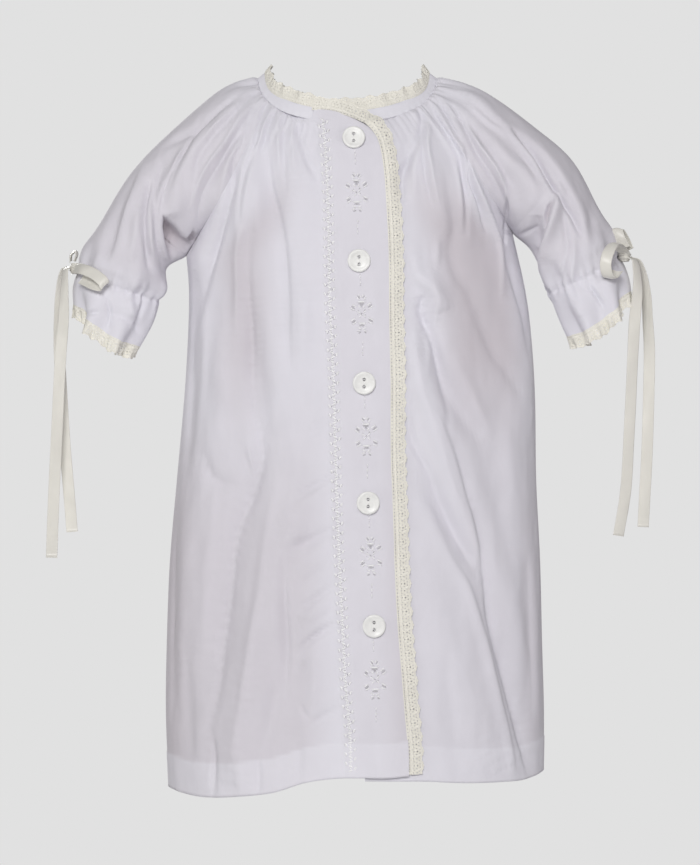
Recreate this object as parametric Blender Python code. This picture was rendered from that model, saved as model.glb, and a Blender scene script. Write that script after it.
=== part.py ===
import math

import bpy
import numpy as np

# Baby daygown, hollow, as it hangs filled out from the neck and shoulders.
# Lengths are in millimetres in the tables and become metres in the meshes.
# X runs to the wearer's left, Y to the back and Z up. Z = 0 is the shoulder line.
# Right and left are the wearer's.
MM = 0.001

# Walls and gaps
CLOTH = 1.2
LACE = 1.0
RIBBON = 1.0
SEAM_GAP = 0.22
LAP_RISE = 2.1
LAP_WIDTH = 26.0
HEM_DEPTH = 21.0
HEM_EXTRA = 0.35

# Neck ring at the lower edge of the band
NECK_X = -3.0
NECK_HALF_WIDTH = 55.0
NECK_FRONT = 38.0
NECK_BACK = 42.0
NECK_TOP = 1.0
NECK_DROP_FRONT = 31.0
NECK_DROP_BACK = 26.0
BAND_WALL = 1.6
BAND_HEIGHT = 8.0
BAND_LEAN_FRONT = 0.34
BAND_LEAN_SIDE = 0.80
BAND_END = -24.3
RAGLAN_ANGLE = 58.0
BACK_RAGLAN_ANGLE = 130.0
FRONT_LACE_HEIGHT = 8.6

# Body rows: key, centre x, front y, front z, back y, back z, sweep of the section in degrees.
# Keys 0 to 3 run from the neck to the underarm.
BODY_ROWS = [
    (1, -1.0, -47.0, -56.0, 49.0, -52.0, 72.0),
    (2, 0.0, -51.0, -84.0, 52.0, -82.0, 80.0),
    (3, 0.0, -53.0, -112.0, 53.0, -110.0, 90.0),
    (4, 0.0, -54.0, -134.0, 53.0, -134.0, 90.0),
    (5, 0.5, -55.0, -161.0, 53.5, -161.0, 90.0),
    (6, 1.0, -57.0, -198.0, 54.0, -198.0, 90.0),
    (7, 1.5, -59.0, -248.0, 55.0, -248.0, 90.0),
    (8, 2.0, -61.0, -298.0, 56.0, -298.0, 90.0),
    (9, 2.0, -63.0, -347.0, 57.0, -347.0, 90.0),
    (10, 2.0, -65.0, -392.0, 58.0, -392.0, 90.0),
    (11, 2.0, -66.0, -430.0, 58.5, -430.0, 90.0),
]

# Side edges below the underarm: z, x
SIDE_RIGHT = [
    (-109.0, -102.5),
    (-131.0, -101.0),
    (-161.0, -101.7),
    (-198.0, -104.0),
    (-248.0, -108.5),
    (-298.0, -112.8),
    (-347.0, -114.7),
    (-392.0, -115.3),
    (-437.0, -113.5),
]
SIDE_LEFT = [
    (-95.0, 99.5),
    (-131.0, 107.5),
    (-161.0, 111.3),
    (-198.0, 113.5),
    (-248.0, 114.2),
    (-298.0, 116.6),
    (-347.0, 117.8),
    (-392.0, 119.0),
    (-430.0, 118.6),
]

# Hem line: x, z
HEM_FRONT_RIGHT = [
    (-115.0, -437.0),
    (-93.0, -440.0),
    (-69.0, -438.5),
    (-46.0, -435.0),
    (-28.0, -429.0),
    (-10.0, -426.3),
    (8.0, -425.8),
    (20.0, -426.0),
    (34.0, -424.8),
    (44.0, -423.6),
    (119.0, -423.0),
]
HEM_FRONT_LEFT = [
    (-115.0, -428.0),
    (20.0, -428.0),
    (46.0, -428.5),
    (66.0, -430.0),
    (90.0, -430.5),
    (108.0, -430.0),
    (119.0, -427.0),
]
HEM_BACK = [
    (-115.0, -437.0),
    (-80.0, -434.0),
    (-30.0, -430.0),
    (40.0, -431.0),
    (90.0, -431.0),
    (119.0, -427.0),
]

# Sleeve rows: key, ridge x, ridge z, seam x, seam z, centre y, half depth, sweep,
# forward tilt. Up to key 3 the seam is the raglan seam, and then the underarm seam.
SLEEVE_RIGHT = [
    (1, -82.0, -7.5, -63.5, -43.0, 0.0, 38.0, 75.0, 0.0),
    (2, -114.5, -34.5, -80.0, -75.0, 0.0, 37.0, 112.0, 0.0),
    (3, -137.0, -58.5, -102.5, -109.0, -1.0, 35.0, 180.0, 0.0),
    (4, -155.0, -88.0, -115.0, -118.0, -4.0, 32.0, 180.0, 1.0),
    (4.7, -166.5, -108.0, -115.0, -131.0, -6.0, 30.0, 180.0, 2.0),
    (5, -168.0, -117.0, -119.0, -137.0, -7.0, 25.5, 180.0, 3.0),
    (5.3, -170.5, -124.0, -120.5, -144.5, -8.0, 27.0, 180.0, 4.0),
    (6, -169.0, -138.0, -132.0, -163.0, -9.0, 27.0, 180.0, 7.0),
]
SLEEVE_LEFT = [
    (1, 82.0, -7.8, 64.0, -43.0, 0.0, 38.0, 75.0, 0.0),
    (2, 115.0, -31.0, 82.0, -70.0, 0.0, 37.0, 112.0, 0.0),
    (3, 136.5, -50.5, 99.5, -95.0, -1.0, 34.0, 180.0, 0.0),
    (4, 151.5, -78.0, 111.5, -107.0, -4.0, 31.0, 180.0, 1.0),
    (4.7, 161.5, -98.0, 117.5, -121.0, -6.0, 29.0, 180.0, 2.0),
    (5, 164.5, -110.0, 121.5, -131.5, -7.0, 24.5, 180.0, 3.0),
    (5.3, 168.0, -117.0, 124.0, -138.0, -8.0, 26.0, 180.0, 4.0),
    (6, 169.5, -130.0, 134.0, -157.0, -9.0, 26.0, 180.0, 7.0),
]
UPPER_KEYS = np.array([0.0, 0.3, 0.7, 1.15, 1.65, 2.1, 2.5, 2.82])
SLEEVE_LOWER_KEYS = np.array([3.0, 3.6, 4.2, 4.6, 4.85, 5.0, 5.15, 5.55, 6.0])
CUFF_LACE_WIDTH = 8.6
CUFF_WAVES = 7

# Placket edge, where the lace begins: z, x in the front view
PLACKET_EDGE = [
    (-22.4, -24.0),
    (-23.2, -14.0),
    (-26.4, -3.0),
    (-30.1, 4.6),
    (-34.0, 10.4),
    (-40.6, 15.4),
    (-50.0, 18.2),
    (-60.4, 19.7),
    (-83.0, 21.2),
    (-110.8, 22.3),
    (-156.0, 22.8),
    (-189.3, 23.5),
    (-228.0, 23.5),
    (-276.6, 25.2),
    (-300.0, 25.8),
    (-326.4, 27.0),
    (-364.8, 30.0),
    (-388.2, 31.8),
    (-407.3, 33.5),
    (-424.2, 33.8),
]
PLACKET_LACE_WIDTH = 9.0
SCALLOP = 8.4
SCALLOP_DEPTH = 0.8

# Buttons on the placket: x, z, distance out from the cloth
BUTTONS = [
    (1.0, -41.0, 1.3),
    (4.2, -115.2, 0.5),
    (7.2, -189.1, 0.5),
    (9.6, -261.1, 0.5),
    (13.1, -334.9, 0.5),
]
BUTTON_RADIUS = 7.0
BUTTON_HOLE = 0.9
BUTTON_HOLE_OFFSET = 2.2

# Bow knots: centre, half size
BOW_KNOTS = {
    "bow_knot_right": ((-171.8, -9.5, -117.5), (3.0, 5.6, 3.2)),
    "bow_knot_left": ((168.4, -11.0, -110.0), (3.0, 5.6, 3.2)),
}

# Ribbon centre lines: x, y, z and the turn of the ribbon's width in degrees,
# 0 along X and 90 along Y
RIBBON_WIDTH = 7.0
RIBBON_STEPS = 2
RIBBONS = {
    "bow_tail_right_front": [
        (-174.2, -15.5, -116.6, -70.0),
        (-176.2, -16.6, -119.0, -60.0),
        (-176.9, -17.6, -130.0, -45.0),
        (-177.3, -18.4, -150.0, -20.0),
        (-179.0, -19.0, -173.0, 0.0),
        (-181.4, -19.2, -223.0, 10.0),
        (-183.2, -19.0, -260.0, 10.0),
        (-184.5, -18.5, -295.5, 10.0),
    ],
    "bow_tail_right_back": [
        (-175.2, -6.5, -116.6, 70.0),
        (-178.3, -6.0, -119.5, 60.0),
        (-180.2, -5.5, -132.0, 40.0),
        (-181.0, -5.5, -150.0, 30.0),
        (-180.6, -6.0, -173.0, 20.0),
        (-177.6, -7.0, -223.0, 0.0),
        (-174.8, -8.0, -255.0, 0.0),
        (-172.7, -8.5, -280.0, 0.0),
    ],
    "bow_tail_left_front": [
        (171.0, -16.0, -111.2, 70.0),
        (174.4, -17.6, -114.2, 55.0),
        (175.6, -19.0, -130.0, 30.0),
        (173.6, -19.6, -150.0, 10.0),
        (172.4, -20.0, -173.0, -10.0),
        (170.0, -20.2, -223.0, -10.0),
        (168.0, -20.0, -255.0, -10.0),
        (163.6, -19.5, -282.0, -10.0),
    ],
    "bow_tail_left_back": [
        (171.8, -6.8, -110.6, -70.0),
        (177.4, -6.6, -114.2, -60.0),
        (181.4, -6.4, -130.0, -45.0),
        (182.8, -6.4, -150.0, -30.0),
        (183.8, -6.6, -173.0, -15.0),
        (182.6, -7.2, -223.0, 0.0),
        (181.0, -7.8, -255.0, 0.0),
        (179.8, -8.2, -277.0, 0.0),
    ],
}

# Bow loops: x, y, z, turn as above and rise of the width out of the level in degrees
LOOPS = {
    "bow_loop_right_front": [
        (-170.7, -15.7, -117.5, 20.0, 60.0),
        (-165.5, -29.5, -118.5, 20.0, 60.0),
        (-158.0, -36.5, -121.5, 20.0, 55.0),
        (-151.5, -40.5, -126.5, 20.0, 50.0),
        (-151.0, -38.8, -130.0, 20.0, 50.0),
        (-157.5, -35.0, -128.5, 20.0, 55.0),
        (-165.5, -27.5, -124.5, 20.0, 60.0),
    ],
    "bow_loop_right_back": [
        (-174.0, -8.0, -113.2, 85.0, 0.0),
        (-173.5, -9.0, -109.0, 85.0, 0.0),
        (-170.5, -9.5, -106.6, 85.0, 0.0),
        (-169.3, -9.5, -108.8, 85.0, 0.0),
        (-170.8, -8.8, -112.8, 85.0, 0.0),
    ],
    "bow_loop_left_front": [
        (167.8, -17.1, -108.0, -20.0, 0.0),
        (161.0, -30.0, -103.0, -18.0, 0.0),
        (156.5, -39.5, -107.5, -12.0, 0.0),
        (154.0, -42.5, -115.0, -10.0, 0.0),
        (154.8, -40.5, -122.0, -12.0, 0.0),
        (158.0, -35.5, -124.5, -18.0, 0.0),
        (162.5, -29.5, -120.0, -20.0, 0.0),
    ],
    "bow_loop_left_back": [
        (171.2, -9.6, -106.2, 85.0, 0.0),
        (170.6, -10.0, -99.0, 85.0, 0.0),
        (167.6, -11.0, -93.5, 85.0, 0.0),
        (165.3, -11.0, -93.8, 85.0, 0.0),
        (167.0, -10.5, -99.5, 85.0, 0.0),
        (168.6, -9.8, -105.0, 85.0, 0.0),
    ],
}

# Creases in the front view: start x, start z, middle x, middle z, end x, end z,
# half width, height out of the cloth
FRONT_CREASES = [
    (-62.0, -52.0, -66.0, -80.0, -70.0, -112.0, 4.5, 3.2),
    (-54.0, -36.0, -49.0, -62.0, -45.0, -95.0, 6.0, -2.6),
    (-33.0, -30.0, -24.0, -48.0, -21.0, -75.0, 5.0, -1.8),
    (-35.0, -60.0, -31.0, -110.0, -31.0, -165.0, 11.0, 2.2),
    (-63.0, -135.0, -58.0, -185.0, -53.0, -225.0, 7.0, -4.2),
    (-53.0, -225.0, -69.0, -280.0, -84.0, -375.0, 9.0, -4.6),
    (-83.0, -160.0, -83.0, -210.0, -92.0, -240.0, 10.0, 2.6),
    (-90.0, -240.0, -99.0, -295.0, -103.0, -370.0, 9.0, 3.0),
    (-36.0, -275.0, -58.0, -350.0, -74.0, -434.0, 11.0, 4.6),
    (-8.0, -240.0, -24.0, -258.0, -40.0, -270.0, 6.0, 1.8),
    (-18.0, -272.0, -30.0, -288.0, -36.0, -305.0, 6.0, -2.2),
    (-12.0, -308.0, -24.0, -328.0, -31.0, -345.0, 6.0, 1.6),
    (-30.0, -330.0, -38.0, -370.0, -40.0, -425.0, 10.0, -2.6),
    (45.0, -120.0, 51.0, -134.0, 55.0, -146.0, 6.5, 4.0),
    (42.0, -134.0, 55.0, -186.0, 80.0, -222.0, 6.5, -4.6),
    (80.0, -222.0, 92.0, -260.0, 96.0, -300.0, 9.0, -2.4),
    (36.0, -165.0, 52.0, -212.0, 72.0, -262.0, 10.0, 4.2),
    (37.0, -240.0, 60.0, -276.0, 80.0, -308.0, 6.0, -4.8),
    (80.0, -308.0, 94.0, -350.0, 108.0, -415.0, 8.0, -4.4),
    (42.0, -300.0, 62.0, -360.0, 92.0, -425.0, 14.0, 3.2),
    (38.0, -30.0, 33.0, -52.0, 31.0, -76.0, 4.0, -2.4),
    (44.0, -38.0, 52.0, -66.0, 58.0, -100.0, 6.0, 2.4),
    (56.0, -40.0, 68.0, -66.0, 80.0, -100.0, 5.0, -2.6),
    (96.0, -130.0, 102.0, -180.0, 104.0, -240.0, 9.0, 2.4),
]
BACK_CREASES = [
    (-40.0, -50.0, -50.0, -110.0, -56.0, -180.0, 8.0, -3.0),
    (-18.0, -60.0, -22.0, -160.0, -30.0, -260.0, 10.0, 3.0),
    (6.0, -55.0, 8.0, -170.0, 2.0, -300.0, 9.0, -3.2),
    (34.0, -50.0, 44.0, -130.0, 52.0, -220.0, 8.0, 3.0),
    (62.0, -120.0, 72.0, -220.0, 70.0, -330.0, 9.0, -3.4),
    (-72.0, -150.0, -84.0, -260.0, -84.0, -400.0, 10.0, 3.4),
    (-50.0, -240.0, -54.0, -330.0, -60.0, -430.0, 9.0, -4.2),
    (-14.0, -280.0, -8.0, -360.0, -12.0, -432.0, 10.0, 4.0),
    (28.0, -250.0, 34.0, -340.0, 28.0, -430.0, 9.0, -3.8),
    (60.0, -290.0, 66.0, -360.0, 74.0, -428.0, 10.0, 3.8),
    (94.0, -140.0, 98.0, -240.0, 100.0, -330.0, 9.0, 2.4),
]
SLEEVE_CREASES = [
    (-70.0, -18.0, -92.0, -40.0, -112.0, -72.0, 5.0, 2.6),
    (-84.0, -24.0, -108.0, -46.0, -130.0, -84.0, 4.5, -2.2),
    (-62.0, -30.0, -80.0, -52.0, -98.0, -84.0, 4.0, -2.0),
    (-140.0, -86.0, -147.0, -104.0, -150.0, -118.0, 4.0, -2.2),
    (-124.0, -78.0, -128.0, -100.0, -130.0, -126.0, 5.0, 2.4),
    (-112.0, -86.0, -109.0, -98.0, -108.0, -112.0, 5.5, -6.0),
    (68.0, -8.0, 96.0, -38.0, 122.0, -70.0, 5.0, 2.6),
    (60.0, -20.0, 84.0, -46.0, 104.0, -80.0, 4.0, -2.2),
    (126.0, -72.0, 122.0, -92.0, 119.0, -116.0, 4.0, 3.8),
    (112.0, -86.0, 112.0, -98.0, 113.0, -110.0, 5.0, -5.0),
    (146.0, -80.0, 148.0, -98.0, 150.0, -112.0, 4.0, -2.2),
]

# Gathers at the neck: angle round the neck, half width, height, length
GATHERS = [
    (-66.0, 2.6, 1.5, 46.0),
    (-54.0, 2.4, 1.6, 52.0),
    (-45.5, 2.2, 1.5, 40.0),
    (-38.0, 2.0, 1.2, 30.0),
    (-31.0, 2.0, 0.8, 22.0),
    (45.0, 2.4, 1.5, 36.0),
    (52.0, 2.4, 1.7, 54.0),
    (61.0, 2.6, 1.5, 48.0),
    (69.0, 2.6, 1.4, 40.0),
    (-77.0, 2.6, 1.5, 44.0),
    (-88.0, 2.6, 1.5, 38.0),
    (-100.0, 2.6, 1.5, 46.0),
    (-112.0, 2.6, 1.4, 38.0),
    (-123.0, 2.6, 1.5, 44.0),
    (78.0, 2.6, 1.5, 50.0),
    (88.0, 2.6, 1.4, 38.0),
    (99.0, 2.6, 1.5, 44.0),
    (111.0, 2.6, 1.5, 36.0),
    (122.0, 2.6, 1.4, 44.0),
    (136.0, 2.6, 1.5, 50.0),
    (146.0, 2.6, 1.4, 42.0),
    (156.0, 2.6, 1.5, 54.0),
    (167.0, 2.6, 1.4, 40.0),
    (178.0, 2.6, 1.5, 50.0),
    (-171.0, 2.6, 1.4, 44.0),
    (-160.0, 2.6, 1.5, 52.0),
    (-149.0, 2.6, 1.4, 42.0),
    (-138.0, 2.6, 1.5, 48.0),
]


def smooth_rows(keys, rows, at):
    """Values on smooth curves through the rows at the given keys."""
    keys = np.asarray(keys, float)
    rows = np.asarray(rows, float)
    steps = np.diff(keys)
    shape = (-1,) + (1,) * (rows.ndim - 1)
    slopes = np.diff(rows, axis=0) / steps.reshape(shape)
    tangents = np.empty_like(rows)
    tangents[0] = slopes[0]
    tangents[-1] = slopes[-1]
    before = steps[:-1].reshape(shape)
    after = steps[1:].reshape(shape)
    tangents[1:-1] = (slopes[1:] * before + slopes[:-1] * after) / (before + after)
    at = np.clip(np.asarray(at, float), keys[0], keys[-1])
    index = np.clip(np.searchsorted(keys, at, side="right") - 1, 0, len(keys) - 2)
    span = steps[index]
    f = ((at - keys[index]) / span).reshape(shape)
    span = span.reshape(shape)
    start = rows[index] * (2 * f**3 - 3 * f**2 + 1) + tangents[index] * span * (f**3 - 2 * f**2 + f)
    end = rows[index + 1] * (3 * f**2 - 2 * f**3) + tangents[index + 1] * span * (f**3 - f**2)
    return start + end


def smooth_each(keys, rows, at):
    """As smooth_rows, with a key of its own for each point of the rows."""
    keys = np.asarray(keys, float)
    rows = np.asarray(rows, float)
    steps = np.diff(keys)
    slopes = np.diff(rows, axis=0) / steps[:, None, None]
    tangents = np.empty_like(rows)
    tangents[0] = slopes[0]
    tangents[-1] = slopes[-1]
    before = steps[:-1, None, None]
    after = steps[1:, None, None]
    tangents[1:-1] = (slopes[1:] * before + slopes[:-1] * after) / (before + after)
    at = np.clip(at, keys[0], keys[-1])
    index = np.clip(np.searchsorted(keys, at, side="right") - 1, 0, len(keys) - 2)
    which = np.arange(len(at))
    span = steps[index][:, None]
    f = ((at - keys[index]) / steps[index])[:, None]
    start = rows[index, which] * (2 * f**3 - 3 * f**2 + 1)
    start += tangents[index, which] * span * (f**3 - 2 * f**2 + f)
    end = rows[index + 1, which] * (3 * f**2 - 2 * f**3)
    end += tangents[index + 1, which] * span * (f**3 - f**2)
    return start + end


def table_curve(table, at, key=0, value=1):
    """A column of a short table as a smooth curve over another column."""
    rows = sorted(table, key=lambda row: row[key])
    at = np.asarray(at, float)
    curve = smooth_rows([row[key] for row in rows], [row[value] for row in rows], at.ravel())
    return curve.reshape(at.shape)


def ramp(value, start, end):
    f = np.clip((value - start) / (end - start), 0.0, 1.0)
    return f * f * (3 - 2 * f)


def neck_points(angles, up=0.0, out=0.0):
    """The neck ring at angles from the front centre, up the band and out from it."""
    angles = np.radians(np.asarray(angles, float))
    cosine = np.cos(angles)
    front = cosine > 0
    lean = BAND_LEAN_FRONT + (BAND_LEAN_SIDE - BAND_LEAN_FRONT) * np.sin(angles) ** 6
    inward = lean * np.asarray(up, float) - np.asarray(out, float)
    depth = np.where(front, NECK_FRONT, NECK_BACK)
    drop = np.where(front, NECK_DROP_FRONT, NECK_DROP_BACK)
    rounded = (np.sqrt(cosine**2 + 0.08**2) - 0.08) / (math.sqrt(1 + 0.08**2) - 0.08)
    x = NECK_X + (NECK_HALF_WIDTH - inward) * np.sin(angles)
    y = -(depth - inward) * cosine
    z = NECK_TOP - drop * rounded**0.8 + np.asarray(up, float) * np.sqrt(1 - lean**2)
    return np.stack(np.broadcast_arrays(x, y, z), axis=-1)


def sleeve_section(row, t):
    """One sleeve section: t runs from -1 at the front seam to 1 at the back seam."""
    _, ridge_x, ridge_z, seam_x, seam_z, centre_y, depth, sweep, tilt = row
    sweep = math.radians(sweep)
    angle = t * sweep
    share = (np.cos(angle) - math.cos(sweep)) / (1 - math.cos(sweep))
    x = seam_x + (ridge_x - seam_x) * share
    y = centre_y + depth * np.sin(angle)
    z = seam_z + (ridge_z - seam_z) * share + tilt * np.sin(angle)
    return np.stack([x, y, z], axis=-1)


def sleeve_seam(side, back, keys):
    """The raglan seam down to the underarm (key 3) and the underarm seam beyond it."""
    keys = np.asarray(keys, float)
    table = SLEEVE_RIGHT if side < 0 else SLEEVE_LEFT
    end = np.array([1.0 if back else -1.0])
    angle = BACK_RAGLAN_ANGLE if back else RAGLAN_ANGLE
    upper = [neck_points([side * angle])[0]]
    upper += [sleeve_section(row, end)[0] for row in table if row[0] <= 3]
    lower = [sleeve_section(row, end)[0] for row in table if row[0] >= 3]
    above = smooth_rows([0, 1, 2, 3], upper, np.minimum(keys, 3.0))
    names = [row[0] for row in table if row[0] >= 3]
    below = smooth_rows(names, lower, np.maximum(keys, 3.0))
    return np.where((keys < 3)[:, None], above, below)


def body_seam(side, back, keys):
    """The raglan seam down to the underarm (key 3) and the side seam below it."""
    keys = np.asarray(keys, float)
    table = SIDE_RIGHT if side < 0 else SIDE_LEFT
    above = sleeve_seam(side, back, np.minimum(keys, 3.0))
    lower = [sleeve_seam(side, back, [3.0])[0]]
    lower += [np.array([x, 0.0, z]) for z, x in table[1:]]
    below = smooth_rows(np.arange(3, 12), lower, np.maximum(keys, 3.0))
    return np.where((keys < 3)[:, None], above, below)


def sleeve_base(side, t, keys):
    """The sleeve's plain surface on a grid of keys by t."""
    t = np.asarray(t, float)
    keys = np.asarray(keys, float)
    table = SLEEVE_RIGHT if side < 0 else SLEEVE_LEFT
    middle = (RAGLAN_ANGLE + BACK_RAGLAN_ANGLE) / 2
    half = (BACK_RAGLAN_ANGLE - RAGLAN_ANGLE) / 2
    names = [0.0] + [float(row[0]) for row in table]
    ends = np.array([-1.0, 1.0])
    rows = [neck_points(side * (middle + half * t))]
    rows += [sleeve_section(row, t) for row in table]
    end_rows = [neck_points(side * (middle + half * ends))]
    end_rows += [sleeve_section(row, ends) for row in table]
    points = smooth_rows(names, rows, keys)
    got = smooth_rows(names, end_rows, keys)
    for index, end in enumerate(ends):
        wanted = sleeve_seam(side, end > 0, keys)
        weight = ramp(end * t, 0.4, 1.0)
        points += (wanted - got[:, index])[:, None, :] * weight[None, :, None]
    return points


def body_points(back, u, keys, hem=None):
    """Plain front or back points at shares u, from -1 at the right to 1, and keys.
    Keys under 0 run up the neck band, 1 for its height."""
    u, keys = np.broadcast_arrays(np.asarray(u, float), np.asarray(keys, float))
    shape = u.shape
    u = u.ravel()
    keys = keys.ravel()
    neck_angle = RAGLAN_ANGLE if not back else 180.0 - BACK_RAGLAN_ANGLE
    names = [0.0] + [float(row[0]) for row in BODY_ROWS]
    edges = {side: body_seam(side, back, names) for side in (-1, 1)}
    rows = []
    for shares in (u, np.array([-1.0, 1.0])):
        section = [neck_points(180.0 - neck_angle * shares if back else neck_angle * shares)]
        for index, row in enumerate(BODY_ROWS):
            _, centre_x, front_y, front_z, back_y, back_z, sweep = row
            sweep = math.radians(sweep)
            centre_y = back_y if back else front_y
            centre_z = back_z if back else front_z
            share = (1 - np.cos(shares * sweep)) / (1 - math.cos(sweep))
            across = np.abs(np.sin(shares * sweep)) / math.sin(sweep)
            edge = np.where(shares[:, None] < 0, edges[-1][index + 1], edges[1][index + 1])
            x = centre_x + (edge[:, 0] - centre_x) * across
            y = centre_y + (edge[:, 1] - centre_y) * share
            z = centre_z + (edge[:, 2] - centre_z) * share
            if row[0] == 11 and hem is not None:
                z = table_curve(hem, x)
            section.append(np.stack([x, y, z], axis=-1))
        rows.append(section)
    points = smooth_each(names, rows[0], keys)
    got = smooth_rows(names, rows[1], np.clip(keys, 0, None))
    for index, side in enumerate((-1, 1)):
        wanted = body_seam(side, back, np.clip(keys, 0, None))
        weight = ramp(side * u, 0.4, 1.0) * ramp(11.0 - keys, 0.0, 1.0)
        points += (wanted - got[:, index]) * weight[:, None]
    up = np.clip(-keys, 0, None) * BAND_HEIGHT
    angle = 180.0 - neck_angle * u if back else neck_angle * u
    points += neck_points(angle, up) - neck_points(angle)
    return points.reshape(shape + (3,))


def body_base(back, u, keys, hem=None):
    """The plain front or back surface on a grid of keys by u."""
    u = np.asarray(u, float)
    keys = np.asarray(keys, float)
    return body_points(back, u[None, :], keys[:, None], hem)


def front_share(x, z, lap):
    """The share and key of the plain front at x and z in the front view."""
    x, z = np.broadcast_arrays(np.asarray(x, float), np.asarray(z, float))
    hem = HEM_FRONT_RIGHT if lap else HEM_FRONT_LEFT
    u = np.clip(x / 112.0, -0.95, 0.95)
    keys = table_curve([(row[3], row[0]) for row in BODY_ROWS] + [(-30.0, 0.0), (-22.0, -1.0)], z)
    step = 0.01
    for _ in range(14):
        here = body_points(False, u, keys, hem)
        by_u = (body_points(False, u + step, keys, hem) - here) / step
        by_key = (body_points(False, u, keys + step, hem) - here) / step
        gap_x = x - here[..., 0]
        gap_z = z - here[..., 2]
        turn = by_u[..., 0] * by_key[..., 2] - by_u[..., 2] * by_key[..., 0]
        turn = np.where(np.abs(turn) < 1.0, -1.0, turn)
        u = u + np.clip((gap_x * by_key[..., 2] - gap_z * by_key[..., 0]) / turn, -0.2, 0.2)
        keys = keys + np.clip((gap_z * by_u[..., 0] - gap_x * by_u[..., 2]) / turn, -0.6, 0.6)
        u = np.clip(u, -1.0, 1.0)
        keys = np.clip(keys, -2.6, 11.0)
    return u, keys


def grid_normals(points):
    """Unit normals of a grid, facing out of the garment for these grids."""
    down = np.gradient(points, axis=0)
    across = np.gradient(points, axis=1)
    normals = np.cross(down, across)
    return normals / np.maximum(np.linalg.norm(normals, axis=-1, keepdims=True), 1e-9)


def crease_field(points, table):
    """Height of the creases of a table at points, seen from the front."""
    flat = points.reshape(-1, 3)
    height = np.zeros(len(flat))
    f = np.linspace(0, 1, 25)
    for x0, z0, x1, z1, x2, z2, width, rise in table:
        bend_x = 2 * x1 - (x0 + x2) / 2
        bend_z = 2 * z1 - (z0 + z2) / 2
        line_x = x0 * (1 - f) ** 2 + 2 * bend_x * f * (1 - f) + x2 * f**2
        line_z = z0 * (1 - f) ** 2 + 2 * bend_z * f * (1 - f) + z2 * f**2
        gap = (flat[:, 0, None] - line_x) ** 2 + (flat[:, 2, None] - line_z) ** 2
        near = np.argmin(gap, axis=1)
        fade = np.sin(np.pi * (0.04 + 0.92 * near / 24)) ** 0.6
        height += rise * fade * np.exp(-gap[np.arange(len(flat)), near] / width**2)
    return height.reshape(points.shape[:-1])


def gather_field(angles, drop):
    """Height of the neck gathers at angles round the neck and distances down from it."""
    height = np.zeros(np.broadcast(angles, drop).shape)
    for angle, width, rise, length in GATHERS:
        turn = (angles - angle + 180.0) % 360.0 - 180.0
        distance = np.abs(turn) * math.radians(1) * (48.0 + 0.55 * drop)
        spread = width * (1 + drop / 40.0)
        fade = np.clip(1 - drop / length, 0, 1) ** 0.8 * ramp(drop, 0.0, 4.0)
        height += rise * fade * np.exp(-((distance / spread) ** 2))
    return height


def cloth(points, front_table, back_table, angles, lift=0.0):
    """The cloth's outer surface: the plain grid with its creases and gathers."""
    normals = grid_normals(points)
    front = ramp(-normals[..., 1], 0.05, 0.5)
    back = ramp(normals[..., 1], 0.05, 0.5)
    height = front * crease_field(points, front_table) + back * crease_field(points, back_table)
    drop = np.linalg.norm(points - points[0], axis=-1)
    height = height * ramp(drop, 0.0, 10.0) + gather_field(angles, drop)
    return points + normals * (height + lift)[..., None]


def unit(vectors):
    return vectors / np.maximum(np.linalg.norm(vectors, axis=-1, keepdims=True), 1e-9)


def seam_normals(side, back, keys):
    """Outward normals of the sleeve and the body along their shared seam, and halfway."""
    upper = np.append(np.minimum(keys, 2.97), 3.0)
    end = 1.0 if back else -1.0
    near = np.array([0.94, 0.97, 1.0])
    sleeve = grid_normals(sleeve_base(side, near * end, upper))[:-1, -1] * side * end
    body = grid_normals(body_base(back, near * side, upper))[:-1, -1] * side * -end
    halfway = unit(sleeve + body)
    halfway[:, 1] *= 1 - ramp(np.asarray(keys, float), 2.4, 2.95)
    return unit(halfway)


def body_seam_normals(side, back, keys):
    keys = np.asarray(keys, float)
    sideways = np.array([float(side), 0.0, 0.0])
    share = ramp(keys, 2.97, 3.5)[:, None]
    return unit(seam_normals(side, back, keys) * (1 - share) + sideways * share)


def sleeve_seam_normals(side, back, keys):
    keys = np.asarray(keys, float)
    ridge = sleeve_base(side, np.array([0.0]), keys)[:, 0]
    seam = sleeve_base(side, np.array([1.0]), keys)[:, 0]
    below = unit((seam - ridge) * np.array([1.0, 0.0, 1.0]))
    share = ramp(keys, 2.97, 3.5)[:, None]
    return unit(seam_normals(side, back, keys) * (1 - share) + below * share)


def wall(name, outer, thickness, extra=0.0, first=None, last=None, thin=None):
    """A closed wall behind a grid of outer points, with given normals at its side edges."""
    normals = grid_normals(outer)
    if first is not None:
        normals[:, 0] = first
    if last is not None:
        normals[:, -1] = last
    depth = thickness + extra + np.zeros(outer.shape[:2])
    if thin is not None:
        depth[:, 0] -= thin
        depth[:, -1] -= thin
    inner = outer - normals * depth[..., None]
    rows, columns = outer.shape[:2]
    points = np.concatenate([outer.reshape(-1, 3), inner.reshape(-1, 3)])
    offset = rows * columns
    faces = []
    for i in range(rows - 1):
        for j in range(columns - 1):
            a = i * columns + j
            b = a + 1
            c = a + columns + 1
            d = a + columns
            faces += [(a, d, c), (a, c, b)]
            faces += [(a + offset, c + offset, d + offset), (a + offset, b + offset, c + offset)]
    rim = [j for j in range(columns)]
    rim += [i * columns + columns - 1 for i in range(1, rows)]
    rim += [(rows - 1) * columns + j for j in range(columns - 2, -1, -1)]
    rim += [i * columns for i in range(rows - 2, 0, -1)]
    for index, a in enumerate(rim):
        b = rim[(index + 1) % len(rim)]
        faces += [(a, b, b + offset), (a, b + offset, a + offset)]
    return solid(name, points, faces)


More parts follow.
